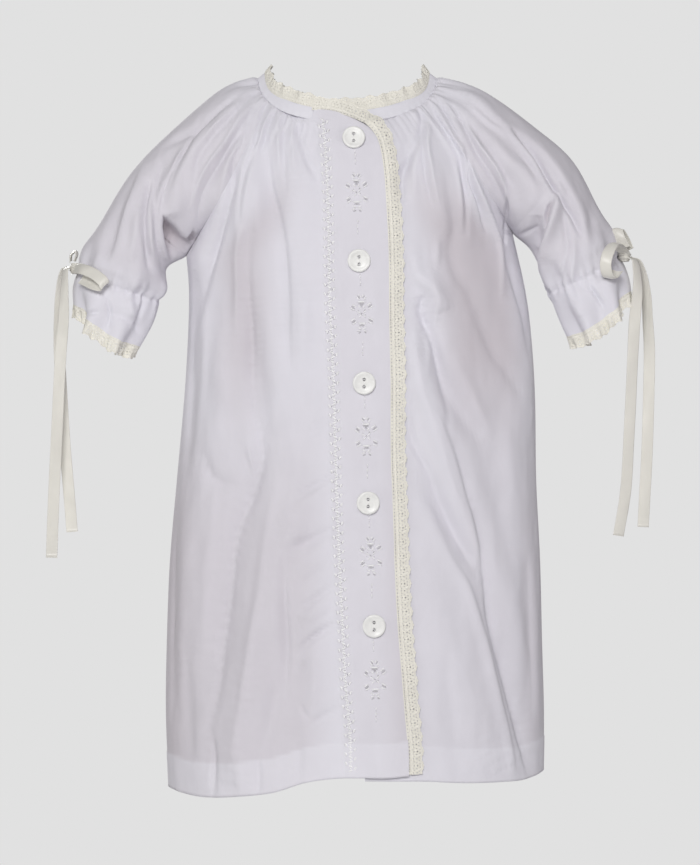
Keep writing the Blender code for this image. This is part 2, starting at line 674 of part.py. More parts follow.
def solid(name, points, faces):
    mesh = bpy.data.meshes.new(name)
    mesh.from_pydata([tuple(p) for p in np.asarray(points) * MM], [], faces)
    mesh.validate()
    mesh.update()
    item = bpy.data.objects.new(name, mesh)
    garment.objects.link(item)
    item.data.materials.append(materials[material_of(name)])
    return item


def material_of(name):
    if "lace" in name:
        return "lace"
    if "button" in name:
        return "pearl"
    if "bow" in name or "tail" in name:
        return "ribbon"
    return "batiste"


def make_material(name, colour, roughness):
    item = bpy.data.materials.new(name)
    item.use_nodes = True
    shader = item.node_tree.nodes["Principled BSDF"]
    shader.inputs["Base Color"].default_value = (*colour, 1.0)
    shader.inputs["Roughness"].default_value = roughness
    return item


def hem_extra(points, line):
    """Added wall where the hem is turned up double."""
    height = points[..., 2] - line
    return HEM_EXTRA * (1 - ramp(height, HEM_DEPTH - 1.0, HEM_DEPTH + 1.0))


def spread(start, end, count, dense_at=0.0, strength=0.0):
    """Shares from start to end, closer together near the start or the end."""
    f = np.linspace(0, 1, count)
    bent = f + strength * f * (1 - f) * (1 if dense_at > 0.5 else -1)
    return start + (end - start) * bent


def corner_thinning(keys):
    """Less wall at the edges close to the underarm, where four pieces meet."""
    return 0.6 * ramp(keys, 2.2, 2.8) * (1 - ramp(keys, 3.0, 3.5))


def body_keys(count_lower):
    return np.concatenate([UPPER_KEYS, np.linspace(3, 11, count_lower)])


def trimmed(points, keys, first=0, last=0, lean=-1.0):
    """The grid with its first and last columns drawn in by the seam gap, to the
    front (-1) or the back (1) where they meet at the underarm and below it. The
    lean takes the body down and in at the underarm, and the sleeve up and out."""
    points = points.copy()
    keys = np.asarray(keys, float)
    share = ramp(keys, 2.4, 3.0)[:, None]
    gap = SEAM_GAP * (1 + 2.6 * ramp(keys, 2.0, 2.6) * (1 - ramp(keys, 3.1, 3.6)))[:, None]
    for way, edge, next_in in ((first, 0, 1), (last, -1, -2)):
        if way == 0:
            continue
        step = unit(points[:, next_in] - points[:, edge])
        sides = np.sign(points[:, edge, 0])
        pull = lean * ramp(keys, 2.4, 3.0) * (1 - ramp(keys, 3.0, 3.6))
        aside = np.stack([0.8 * pull * sides, way + 0.0 * pull, 0.5 * pull], axis=1)
        points[:, edge] += unit(step * (1 - share) + aside * share) * gap
    return points


def placket_distance(x, z):
    """How far points of the front view are inside the placket's edge."""
    return table_curve(PLACKET_EDGE[3:], z) - x


def lap_lift(points):
    """The rise of the right front where it lies over the left one."""
    inside = placket_distance(points[..., 0], points[..., 2])
    return LAP_RISE * ramp(inside, LAP_WIDTH + 14.0, LAP_WIDTH + 2.0)


def front_cloth(u, keys, lap):
    """Outer points of a front piece at shares and keys, with its creases and gathers."""
    hem = HEM_FRONT_RIGHT if lap else HEM_FRONT_LEFT
    u, keys = np.broadcast_arrays(u, keys)
    points = body_points(False, u, keys, hem)
    step = 0.004
    across = body_points(False, u + step, keys, hem) - body_points(False, u - step, keys, hem)
    down = body_points(False, u, keys + step, hem) - body_points(False, u, keys - step, hem)
    normals = unit(np.cross(down, across))
    drop = np.linalg.norm(points - neck_points(RAGLAN_ANGLE * u), axis=-1)
    drop = np.where(keys < 0, 0.0, drop)
    front = ramp(-normals[..., 1], 0.05, 0.5) * ramp(drop, 0.0, 12.0)
    height = front * crease_field(points, FRONT_CREASES) + gather_field(RAGLAN_ANGLE * u, drop)
    if lap:
        height = height + lap_lift(points)
    return points + normals * height[..., None], normals


for item in list(bpy.data.objects):
    bpy.data.objects.remove(item, do_unlink=True)
garment = bpy.data.collections.new("baby_daygown")
bpy.context.scene.collection.children.link(garment)
cutters = bpy.data.collections.new("cutters")
bpy.context.scene.collection.children.link(cutters)
materials = {
    "batiste": make_material("batiste", (0.80, 0.79, 0.84), 0.85),
    "lace": make_material("lace", (0.78, 0.74, 0.60), 0.85),
    "ribbon": make_material("ribbon", (0.80, 0.78, 0.68), 0.35),
    "pearl": make_material("pearl", (0.82, 0.80, 0.70), 0.25),
}

# Right front, which laps over, and left front under it
keys = body_keys(14)
path = np.array([(x, z) for z, x in PLACKET_EDGE])
steps = np.concatenate([[0.0], np.cumsum(np.linalg.norm(np.diff(path, axis=0), axis=1))])
edge_line = smooth_rows(steps, path, np.linspace(0, steps[-1], 260))
edge_u, edge_keys = front_share(edge_line[:, 0], edge_line[:, 1], True)
corner = int(np.argmin(np.abs(edge_line[:, 0] + 3.0)))
lap_keys = np.insert(keys, 1, 0.1)
row_u = np.interp(lap_keys, edge_keys[corner:], edge_u[corner:])
row_u[0] = edge_u[corner]
row_u[1] = np.interp(-0.1, edge_keys[corner:], edge_u[corner:])
shares = spread(0, 1, 25, 1.0, 0.25)
right_u = -1 + (row_u[:, None] + 1) * shares[None, :]
right_keys = np.repeat(lap_keys[:, None], len(shares), axis=1)
top_x = body_points(False, right_u[0], 0.0)[:, 0]
top_keys = np.interp(top_x, edge_line[: corner + 1, 0], edge_keys[: corner + 1])
in_placket = top_x > edge_line[0, 0] + 0.5
right_keys[0] = np.where(in_placket, top_keys, 0.0)
right_keys[1] = np.where(in_placket, np.maximum(top_keys * 0.4, -0.1), 0.1)
right_front, _ = front_cloth(right_u, right_keys, True)
right_front = trimmed(right_front, lap_keys, first=-1)
hem_line = table_curve(HEM_FRONT_RIGHT, right_front[..., 0])
lap_edge = body_seam_normals(-1, False, lap_keys)
thin = corner_thinning(lap_keys)
wall("front_right", right_front, CLOTH, hem_extra(right_front, hem_line), first=lap_edge, thin=thin)

under_z = np.array([z for z, x in PLACKET_EDGE[3:]])
under_x = np.array([x for z, x in PLACKET_EDGE[3:]]) - LAP_WIDTH
under_u, under_keys = front_share(under_x, under_z, False)
row_u = np.interp(keys, under_keys, under_u)
shares = spread(0, 1, 18, 0.0, 0.25)
left_u = row_u[:, None] + (1 - row_u[:, None]) * shares[None, :]
left_front, _ = front_cloth(left_u, keys[:, None], False)
left_front = trimmed(left_front, keys, last=-1)
hem_line = table_curve(HEM_FRONT_LEFT, left_front[..., 0])
under_edge = body_seam_normals(1, False, keys)
thin = corner_thinning(keys)
wall("front_left", left_front, CLOTH, hem_extra(left_front, hem_line), last=under_edge, thin=thin)

# Back
back_u = np.linspace(1, -1, 29)
back_grid = body_base(True, back_u, keys, HEM_BACK)
back_angles = 180.0 - (180.0 - BACK_RAGLAN_ANGLE) * back_u[None, :]
back_outer = cloth(back_grid, BACK_CREASES, BACK_CREASES, back_angles)
back_outer = trimmed(back_outer, keys, first=1, last=1)
hem_line = table_curve(HEM_BACK, back_outer[..., 0])
left_side = body_seam_normals(1, True, keys)
right_side = body_seam_normals(-1, True, keys)
extra = hem_extra(back_outer, hem_line)
wall("back", back_outer, CLOTH, extra, first=left_side, last=right_side, thin=corner_thinning(keys))

# Sleeves
ends = {}
for side, name in ((-1, "sleeve_right"), (1, "sleeve_left")):
    table = SLEEVE_RIGHT if side < 0 else SLEEVE_LEFT
    sleeve_keys = np.concatenate([UPPER_KEYS, SLEEVE_LOWER_KEYS])
    t = np.linspace(-1, 1, 29) * side
    grid = sleeve_base(side, t, sleeve_keys)
    middle = (RAGLAN_ANGLE + BACK_RAGLAN_ANGLE) / 2
    half = (BACK_RAGLAN_ANGLE - RAGLAN_ANGLE) / 2
    angles = side * (middle + half * t)[None, :]
    outer = cloth(grid, SLEEVE_CREASES, [], angles)
    normals = grid_normals(grid)
    flare = ramp(sleeve_keys, 5.0, 6.0)[:, None]
    puff = (ramp(sleeve_keys, 4.2, 4.7) * (1 - ramp(sleeve_keys, 4.8, 5.0)))[:, None]
    wave = np.sin(math.pi * CUFF_WAVES * (t[None, :] + 0.13))
    outer = outer + normals * (wave * (2.4 * flare + 1.2 * puff))[..., None]
    outer = trimmed(outer, sleeve_keys, first=-side, last=side, lean=1.0)
    ends[side] = outer[-3:].copy()
    front_edge = sleeve_seam_normals(side, False, sleeve_keys)
    back_edge = sleeve_seam_normals(side, True, sleeve_keys)
    if side < 0:
        wall(name, outer, CLOTH, first=back_edge, last=front_edge, thin=corner_thinning(sleeve_keys))
    else:
        wall(name, outer, CLOTH, first=front_edge, last=back_edge, thin=corner_thinning(sleeve_keys))

# Lace on the sleeves, from the cuff's edge on
for side, name in ((-1, "cuff_lace_right"), (1, "cuff_lace_left")):
    edge = ends[side][-1]
    way = unit(edge - ends[side][-2])
    rows = []
    for length in (0.6, 0.6 + CUFF_LACE_WIDTH * 0.5, 0.6 + CUFF_LACE_WIDTH):
        rows.append(edge + way * length)
    teeth = np.where(np.arange(edge.shape[0]) % 2 == 0, 0.0, SCALLOP_DEPTH)
    rows[-1] = rows[-1] + way * teeth[:, None]
    wall(name, np.array(rows), LACE)

# Neck band, from the overlap's placket round the back to the hidden end
angles = np.linspace(BAND_END, -18.0 - 360.0, 62)
lift = LAP_RISE * ramp(angles, -60.0, -34.0) + 0.3 - 2.0 * ramp(-angles, 336.0, 350.0)
foot = 0.5 + 0.7 * np.sin(np.radians(angles)) ** 6
band = np.array([neck_points(angles, up, lift) for up in (BAND_HEIGHT, foot)])
wall("neck_band", band, BAND_WALL)

# Lace standing on the neck band
angles = np.linspace(BAND_END, -8.0 - 360.0, 97)
hidden = ramp(-angles, 334.0, 352.0)
lift = LAP_RISE * ramp(angles, -60.0, -34.0) + 0.1 - 2.0 * hidden
wave = 1.6 * np.sin(np.radians(angles) * 17.0) * (1 - hidden)
tall = FRONT_LACE_HEIGHT - 1.6 * np.sin(np.radians(angles)) ** 4
tall = tall + np.where(np.arange(len(angles)) % 2 == 0, 0.0, SCALLOP_DEPTH)
base = neck_points(angles, BAND_HEIGHT + 0.5, lift)
tip = neck_points(angles, BAND_HEIGHT + 0.5 + tall, lift + wave)
wall("neck_lace", np.array([tip, base]), LACE)

# Lace round the placket's top corner and down its edge to the hem
along = np.linspace(0.6, steps[-1] - 0.4, 2 * int(steps[-1] / SCALLOP) + 1)
line = smooth_rows(steps, path, along)
way = unit(np.gradient(line, axis=0))
out = np.stack([-way[:, 1], way[:, 0]], axis=1)
reach = PLACKET_LACE_WIDTH - 1.0 * (1 - ramp(along, 10.0, 40.0))
reach = reach + np.where(np.arange(len(along)) % 2 == 0, 0.0, SCALLOP_DEPTH)
rows = []
for width, rise in ((0.0, 1.6), (0.5, 1.5), (1.0, 1.4)):
    side = line + out * (0.5 + (reach * width)[:, None])
    u, place = front_share(side[:, 0], side[:, 1], False)
    plain, normals = front_cloth(u, place, False)
    beyond = ramp(along, 8.0, 30.0)
    lifted = rise + (LAP_RISE - rise) * (1 - beyond) + 1.4 * np.exp(-((place / 0.35) ** 2))
    rows.append(plain + normals * lifted[:, None])
wall("placket_lace", np.array(rows), LACE)


def strip(name, centres, across, width, thickness):
    """A flat ribbon along a line of centres, lying along the given directions."""
    centres = np.asarray(centres, float)
    across = unit(np.asarray(across, float))
    along = unit(np.gradient(centres, axis=0))
    across = unit(across - along * np.sum(across * along, axis=1, keepdims=True))
    face = np.cross(along, across)
    shift = across * (width / 2)
    outer = np.stack([centres - shift, centres + shift], axis=1) + face[:, None] * (thickness / 2)
    inner = outer - face[:, None] * thickness
    count = len(centres)
    points = np.concatenate([outer.reshape(-1, 3), inner.reshape(-1, 3)])
    back = 2 * count
    faces = []
    for i in range(count - 1):
        a = 2 * i
        faces += [(a, a + 2, a + 3), (a, a + 3, a + 1)]
        faces += [(back + a, back + a + 3, back + a + 2), (back + a, back + a + 1, back + a + 3)]
        faces += [(a, back + a, back + a + 2), (a, back + a + 2, a + 2)]
        faces += [(a + 1, a + 3, back + a + 3), (a + 1, back + a + 3, back + a + 1)]
    last = back - 2
    faces += [(0, 1, back + 1), (0, back + 1, back)]
    faces += [(last, back + last + 1, last + 1), (last, back + last, back + last + 1)]
    return solid(name, points, faces)


def rounded_box(name, centre, half):
    """A small soft knot."""
    x, y, z = half
    points = []
    for level, share in ((-1.0, 0.7), (-0.4, 1.0), (0.4, 1.0), (1.0, 0.7)):
        for k in range(10):
            angle = 2 * math.pi * k / 10
            points.append((centre[0] + x * share * math.cos(angle), centre[1] + y * share * math.sin(angle), centre[2] + z * level))
    faces = []
    for level in range(3):
        for k in range(10):
            a = level * 10 + k
            b = level * 10 + (k + 1) % 10
            faces += [(a, b, b + 10), (a, b + 10, a + 10)]
    for k in range(1, 9):
        faces += [(0, k + 1, k), (30, 30 + k, 31 + k)]
    return solid(name, points, faces)


# Bows and their tails
for name, (centre, half) in BOW_KNOTS.items():
    rounded_box(name, centre, half)
for name, rows in {**RIBBONS, **LOOPS}.items():
    centres = [row[:3] for row in rows]
    turns = [math.radians(row[3]) for row in rows]
    rises = [math.radians(row[4]) if len(row) > 4 else 0.0 for row in rows]
    marks = np.arange(len(rows), dtype=float)
    fine = np.linspace(0, len(rows) - 1, RIBBON_STEPS * (len(rows) - 1) + 1)
    centres = smooth_rows(marks, centres, fine)
    turns = smooth_rows(marks, turns, fine)
    rises = smooth_rows(marks, rises, fine)
    level = np.cos(rises)
    across = np.stack([np.cos(turns) * level, np.sin(turns) * level, np.sin(rises)], axis=1)
    strip(name, centres, across, RIBBON_WIDTH, RIBBON)

# Buttons, dished, with two holes one above the other
for index, (x, z, stand) in enumerate(BUTTONS):
    u, place = front_share(np.array([x]), np.array([z]), True)
    outer, normals = front_cloth(u, place, True)
    normal = unit(normals[0] * np.array([1.0, 1.0, 0.6]))
    origin = outer[0] + normal * stand
    side = unit(np.cross(normal, np.array([0.0, 0.0, 1.0])))
    up = np.cross(side, normal)
    rings = [(0.0, 0.0), (BUTTON_RADIUS - 0.7, 0.0), (BUTTON_RADIUS, 0.9), (BUTTON_RADIUS - 0.7, 2.0)]
    rings += [(BUTTON_RADIUS - 2.2, 1.9), (BUTTON_RADIUS - 3.2, 1.3), (0.0, 1.2)]
    sides = 20
    points = []
    for radius, rise in rings:
        turns = range(sides) if radius > 0 else range(1)
        for k in turns:
            angle = 2 * math.pi * k / sides
            points.append(origin + (side * math.cos(angle) + up * math.sin(angle)) * radius + normal * rise)
    faces = []
    for k in range(sides):
        n = (k + 1) % sides
        faces.append((0, 1 + k, 1 + n))
        for ring in range(4):
            a = 1 + ring * sides
            faces.append((a + k, a + sides + k, a + sides + n, a + n))
        a = 1 + 4 * sides
        faces.append((a + k, a + sides, a + n))
    item = solid(f"button_{index + 1}", points, faces)
    for way in (-1, 1):
        pin = []
        for depth in (-1.0, 3.5):
            for k in range(8):
                angle = 2 * math.pi * k / 8
                spot = origin + up * (way * BUTTON_HOLE_OFFSET) + normal * depth
                pin.append(spot + (side * math.cos(angle) + up * math.sin(angle)) * BUTTON_HOLE)
        pin_faces = [(k, 8 + k, 8 + (k + 1) % 8, (k + 1) % 8) for k in range(8)]
        pin_faces += [tuple(range(8)), tuple(range(15, 7, -1))]
        mesh = bpy.data.meshes.new(f"hole_{index + 1}_{way}")
        mesh.from_pydata([tuple(p) for p in np.array(pin) * MM], [], pin_faces)
        cutter = bpy.data.objects.new(mesh.name, mesh)
        cutter.hide_render = True
        cutter.display_type = "WIRE"
        cutters.objects.link(cutter)
        cut = item.modifiers.new(cutter.name, "BOOLEAN")
        cut.operation = "DIFFERENCE"
        cut.solver = "EXACT"
        cut.object = cutter
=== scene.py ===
import math

import bpy
import numpy as np
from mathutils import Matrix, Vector, noise


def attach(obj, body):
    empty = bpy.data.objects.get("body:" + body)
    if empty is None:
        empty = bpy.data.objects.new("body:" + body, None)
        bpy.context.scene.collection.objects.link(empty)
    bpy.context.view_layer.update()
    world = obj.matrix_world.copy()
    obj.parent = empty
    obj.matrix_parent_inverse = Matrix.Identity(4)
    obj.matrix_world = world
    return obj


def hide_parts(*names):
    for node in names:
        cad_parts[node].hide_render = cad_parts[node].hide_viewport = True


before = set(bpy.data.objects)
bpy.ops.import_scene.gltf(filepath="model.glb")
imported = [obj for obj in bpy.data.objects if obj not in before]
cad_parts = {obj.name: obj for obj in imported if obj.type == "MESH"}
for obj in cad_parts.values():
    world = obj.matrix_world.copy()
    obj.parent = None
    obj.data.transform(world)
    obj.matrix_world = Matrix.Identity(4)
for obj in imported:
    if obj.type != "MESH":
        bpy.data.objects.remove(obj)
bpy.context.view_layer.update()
bpy.context.scene.view_settings.view_transform = "Standard"

# Baby daygown, hollow, as it hangs filled out from the neck and shoulders.
# Lengths are in millimetres in the tables, where a comment names no other unit,
# and become metres in the meshes.
# X runs to the wearer's left, Y to the back and Z up. Z = 0 is the shoulder line.
# Right and left are the wearer's.
MM = 0.001

# Lap and hem
LAP_RISE = 2.1
LAP_WIDTH = 26.0
HEM_DEPTH = 21.0
HEM_EXTRA = 0.35
HEM_STEP = 0.6
HEM_GAP = 0.75

# Where folds fade out: shares of a panel's width from a seam, and distances below the neck
SEAM_SHARE = 0.14
SEAM_EDGE = 0.03
SLEEVE_SEAM_EDGE = 0.02
CREASE_START = 12.0
FOLD_START = 4.0

# Neck ring at the lower edge of the band, and its mean radius
NECK_RADIUS = 48.0
NECK_X = -3.0
NECK_HALF_WIDTH = 55.0
NECK_FRONT = 38.0
NECK_BACK = 42.0
NECK_TOP = 1.0
NECK_DROP_FRONT = 31.0
NECK_DROP_BACK = 26.0
BAND_HEIGHT = 8.0
BAND_LEAN_FRONT = 0.34
BAND_LEAN_SIDE = 0.80
BAND_END = -24.3
RAGLAN_ANGLE = 58.0
BACK_RAGLAN_ANGLE = 130.0
FRONT_LACE_HEIGHT = 8.6

# Body rows: key, centre x, front y, front z, back y, back z, sweep of the section in degrees.
# Keys 0 to 3 run from the neck to the underarm.
BODY_ROWS = [
    (1, -1.0, -47.0, -56.0, 49.0, -52.0, 72.0),
    (2, 0.0, -51.0, -84.0, 52.0, -82.0, 80.0),
    (3, 0.0, -53.0, -112.0, 53.0, -110.0, 90.0),
    (4, 0.0, -54.0, -134.0, 53.0, -134.0, 90.0),
    (5, 0.5, -55.0, -161.0, 53.5, -161.0, 90.0),
    (6, 1.0, -57.0, -198.0, 54.0, -198.0, 90.0),
    (7, 1.5, -59.0, -248.0, 55.0, -248.0, 90.0),
    (8, 2.0, -61.0, -298.0, 56.0, -298.0, 90.0),
    (9, 2.0, -63.0, -347.0, 57.0, -347.0, 90.0),
    (10, 2.0, -65.0, -392.0, 58.0, -392.0, 90.0),
    (11, 2.0, -66.0, -430.0, 58.5, -430.0, 90.0),
]

# Side edges below the underarm: z, x
SIDE_RIGHT = [
    (-109.0, -102.5),
    (-131.0, -101.0),
    (-161.0, -101.7),
    (-198.0, -104.0),
    (-248.0, -108.5),
    (-298.0, -112.8),
    (-347.0, -114.7),
    (-392.0, -115.3),
    (-437.0, -113.5),
]
SIDE_LEFT = [
    (-95.0, 99.5),
    (-131.0, 107.5),
    (-161.0, 111.3),
    (-198.0, 113.5),
    (-248.0, 114.2),
    (-298.0, 116.6),
    (-347.0, 117.8),
    (-392.0, 119.0),
    (-430.0, 118.6),
]

# Hem line: x, z
HEM_FRONT_RIGHT = [
    (-115.0, -437.0),
    (-93.0, -440.0),
    (-69.0, -438.5),
    (-46.0, -435.0),
    (-28.0, -429.0),
    (-10.0, -426.3),
    (8.0, -425.8),
    (20.0, -426.0),
    (34.0, -424.8),
    (44.0, -423.6),
    (119.0, -423.0),
]
HEM_FRONT_LEFT = [
    (-115.0, -428.0),
    (20.0, -428.0),
    (46.0, -428.5),
    (66.0, -430.0),
    (90.0, -430.5),
    (108.0, -430.0),
    (119.0, -427.0),
]
HEM_BACK = [
    (-115.0, -437.0),
    (-80.0, -434.0),
    (-30.0, -430.0),
    (40.0, -431.0),
    (90.0, -431.0),
    (119.0, -427.0),
]

# Sleeve rows: key, ridge x, ridge z, seam x, seam z, centre y, half depth, sweep,
# forward tilt. Up to key 3 the seam is the raglan seam, and then the underarm seam.
SLEEVE_RIGHT = [
    (1, -82.0, -7.5, -63.5, -43.0, 0.0, 38.0, 75.0, 0.0),
    (2, -114.5, -34.5, -80.0, -75.0, 0.0, 37.0, 112.0, 0.0),
    (3, -137.0, -58.5, -102.5, -109.0, -1.0, 35.0, 180.0, 0.0),
    (4, -155.0, -88.0, -115.0, -118.0, -4.0, 32.0, 180.0, 1.0),
    (4.7, -166.5, -108.0, -115.0, -131.0, -6.0, 30.0, 180.0, 2.0),
    (5, -168.0, -117.0, -119.0, -137.0, -7.0, 25.5, 180.0, 3.0),
    (5.3, -170.5, -124.0, -120.5, -144.5, -8.0, 27.0, 180.0, 4.0),
    (6, -169.0, -138.0, -132.0, -163.0, -9.0, 27.0, 180.0, 7.0),
]
SLEEVE_LEFT = [
    (1, 82.0, -7.8, 64.0, -43.0, 0.0, 38.0, 75.0, 0.0),
    (2, 115.0, -31.0, 82.0, -70.0, 0.0, 37.0, 112.0, 0.0),
    (3, 136.5, -50.5, 99.5, -95.0, -1.0, 34.0, 180.0, 0.0),
    (4, 151.5, -78.0, 111.5, -107.0, -4.0, 31.0, 180.0, 1.0),
    (4.7, 161.5, -98.0, 117.5, -121.0, -6.0, 29.0, 180.0, 2.0),
    (5, 164.5, -110.0, 121.5, -131.5, -7.0, 24.5, 180.0, 3.0),
    (5.3, 168.0, -117.0, 124.0, -138.0, -8.0, 26.0, 180.0, 4.0),
    (6, 169.5, -130.0, 134.0, -157.0, -9.0, 26.0, 180.0, 7.0),
]
CUFF_WAVES = 7

# Placket edge, where the lace begins: z, x in the front view
PLACKET_EDGE = [
    (-22.4, -24.0),
    (-23.2, -14.0),
    (-26.4, -3.0),
    (-30.1, 4.6),
    (-34.0, 10.4),
    (-40.6, 15.4),
    (-50.0, 18.2),
    (-60.4, 19.7),
    (-83.0, 21.2),
    (-110.8, 22.3),
    (-156.0, 22.8),
    (-189.3, 23.5),
    (-228.0, 23.5),
    (-276.6, 25.2),
    (-300.0, 25.8),
    (-326.4, 27.0),
    (-364.8, 30.0),
    (-388.2, 31.8),
    (-407.3, 33.5),
    (-424.2, 33.8),
]
PLACKET_LACE_WIDTH = 9.0
SCALLOP = 8.4
SCALLOP_MIDDLE = 8.55
SCALLOP_SWING = 0.55
LACE_WIDTH = 9.1
LACE_GRID_WIDTH = 9.3

# Buttons on the placket: x, z, distance out from the cloth
BUTTONS = [
    (1.0, -41.0, 1.3),
    (4.2, -115.2, 0.5),
    (7.2, -189.1, 0.5),
    (9.6, -261.1, 0.5),
    (13.1, -334.9, 0.5),
]
BUTTON_RADIUS = 7.0
BUTTON_HOLE = 0.9
BUTTON_HOLE_OFFSET = 2.2
BUTTON_THREAD = 0.29
BUTTON_SIDES = 64
PIN_SIDES = 20

# Bow knots: centre, half size
BOW_KNOTS = {
    "bow_knot_right": ((-171.8, -9.5, -117.5), (3.0, 5.6, 3.2)),
    "bow_knot_left": ((168.4, -11.0, -110.0), (3.0, 5.6, 3.2)),
}

# Ribbon centre lines: x, y, z and the turn of the ribbon's width in degrees,
# 0 along X and 90 along Y
RIBBON_WIDTH = 7.0
RIBBON_HALF_WALL = 0.14
RIBBONS = {
    "bow_tail_right_front": [
        (-174.2, -15.5, -116.6, -70.0),
        (-176.2, -16.6, -119.0, -60.0),
        (-176.9, -17.6, -130.0, -45.0),
        (-177.3, -18.4, -150.0, -20.0),
        (-179.0, -19.0, -173.0, 0.0),
        (-181.4, -19.2, -223.0, 2.0),
        (-183.2, -19.0, -260.0, 2.0),
        (-184.5, -18.5, -295.5, 2.0),
    ],
    "bow_tail_right_back": [
        (-175.2, -6.5, -116.6, 70.0),
        (-178.3, -6.0, -119.5, 60.0),
        (-180.2, -5.5, -132.0, 40.0),
        (-181.0, -5.5, -150.0, 30.0),
        (-180.6, -6.0, -173.0, 20.0),
        (-177.6, -7.0, -223.0, 0.0),
        (-174.8, -8.0, -255.0, 0.0),
        (-172.7, -8.5, -280.0, 0.0),
    ],
    "bow_tail_left_front": [
        (171.0, -16.0, -111.2, 70.0),
        (174.4, -17.6, -114.2, 55.0),
        (175.6, -19.0, -130.0, 30.0),
        (173.6, -19.6, -150.0, 2.0),
        (172.4, -20.0, -173.0, 16.0),
        (170.0, -20.2, -223.0, 16.0),
        (168.0, -20.0, -255.0, 16.0),
        (163.6, -19.5, -282.0, 16.0),
    ],
    "bow_tail_left_back": [
        (171.8, -6.8, -110.6, -70.0),
        (177.4, -6.6, -114.2, -60.0),
        (181.4, -6.4, -130.0, -45.0),
        (182.8, -6.4, -150.0, -30.0),
        (183.8, -6.6, -173.0, -15.0),
        (182.6, -7.2, -223.0, 0.0),
        (181.0, -7.8, -255.0, 0.0),
        (179.8, -8.2, -277.0, 0.0),
    ],
}

# Bow loops: x, y, z, turn as above and rise of the width out of the level in degrees
LOOPS = {
    "bow_loop_right_front": [
        (-170.7, -15.7, -117.5, 20.0, 60.0),
        (-165.5, -29.5, -118.5, 20.0, 60.0),
        (-158.0, -36.5, -121.5, 20.0, 55.0),
        (-151.5, -40.5, -126.5, 20.0, 50.0),
        (-151.0, -38.8, -130.0, 20.0, 50.0),
        (-157.5, -35.0, -128.5, 20.0, 55.0),
        (-165.5, -27.5, -124.5, 20.0, 60.0),
    ],
    "bow_loop_right_back": [
        (-174.0, -8.0, -113.2, 85.0, 0.0),
        (-173.5, -9.0, -109.0, 85.0, 0.0),
        (-170.5, -9.5, -106.6, 85.0, 0.0),
        (-169.3, -9.5, -108.8, 85.0, 0.0),
        (-170.8, -8.8, -112.8, 85.0, 0.0),
    ],
    "bow_loop_left_front": [
        (167.8, -17.1, -108.0, -20.0, 0.0),
        (161.0, -30.0, -103.0, -18.0, 0.0),
        (156.5, -39.5, -107.5, -12.0, 0.0),
        (154.0, -42.5, -115.0, -10.0, 0.0),
        (154.8, -40.5, -122.0, -12.0, 0.0),
        (158.0, -35.5, -124.5, -18.0, 0.0),
        (162.5, -29.5, -120.0, -20.0, 0.0),
    ],
    "bow_loop_left_back": [
        (171.0, -9.6, -106.2, -30.0, 0.0),
        (168.0, -8.8, -99.5, -22.0, 0.0),
        (164.8, -10.0, -94.2, -15.0, 0.0),
        (163.4, -13.0, -93.4, -15.0, 0.0),
        (164.6, -14.6, -98.8, -22.0, 0.0),
        (168.0, -13.6, -105.0, -30.0, 0.0),
    ],
}

# Creases in the front view: start x, start z, middle x, middle z, end x, end z,
# half width, height out of the cloth
FRONT_CREASES = [
    (-62.0, -52.0, -66.0, -80.0, -70.0, -112.0, 4.5, 3.2),
    (-54.0, -36.0, -49.0, -62.0, -45.0, -95.0, 6.0, -2.6),
    (-33.0, -30.0, -24.0, -48.0, -21.0, -75.0, 5.0, -1.8),
    (-35.0, -60.0, -31.0, -110.0, -31.0, -165.0, 11.0, 2.2),
    (-63.0, -135.0, -58.0, -185.0, -53.0, -225.0, 7.0, -4.2),
    (-53.0, -225.0, -69.0, -280.0, -84.0, -375.0, 9.0, -4.6),
    (-83.0, -160.0, -83.0, -210.0, -92.0, -240.0, 10.0, 2.6),
    (-90.0, -240.0, -99.0, -295.0, -103.0, -370.0, 9.0, 3.0),
    (-36.0, -275.0, -58.0, -350.0, -74.0, -434.0, 11.0, 4.6),
    (-8.0, -240.0, -24.0, -258.0, -40.0, -270.0, 6.0, 1.8),
    (-18.0, -272.0, -30.0, -288.0, -36.0, -305.0, 6.0, -2.2),
    (-12.0, -308.0, -24.0, -328.0, -31.0, -345.0, 6.0, 1.6),
    (-30.0, -330.0, -38.0, -370.0, -40.0, -425.0, 10.0, -2.6),
    (45.0, -120.0, 51.0, -134.0, 55.0, -146.0, 6.5, 4.0),
    (42.0, -134.0, 55.0, -186.0, 80.0, -222.0, 6.5, -4.6),
    (80.0, -222.0, 92.0, -260.0, 96.0, -300.0, 9.0, -2.4),
    (36.0, -165.0, 52.0, -212.0, 72.0, -262.0, 10.0, 4.2),
    (37.0, -240.0, 60.0, -276.0, 80.0, -308.0, 6.0, -4.8),
    (80.0, -308.0, 94.0, -350.0, 108.0, -415.0, 8.0, -4.4),
    (42.0, -300.0, 62.0, -360.0, 92.0, -425.0, 14.0, 3.2),
    (38.0, -30.0, 33.0, -52.0, 31.0, -76.0, 4.0, -2.4),
    (44.0, -38.0, 52.0, -66.0, 58.0, -100.0, 6.0, 2.4),
    (56.0, -40.0, 68.0, -66.0, 80.0, -100.0, 5.0, -2.6),
    (96.0, -130.0, 102.0, -180.0, 104.0, -240.0, 9.0, 2.4),
]
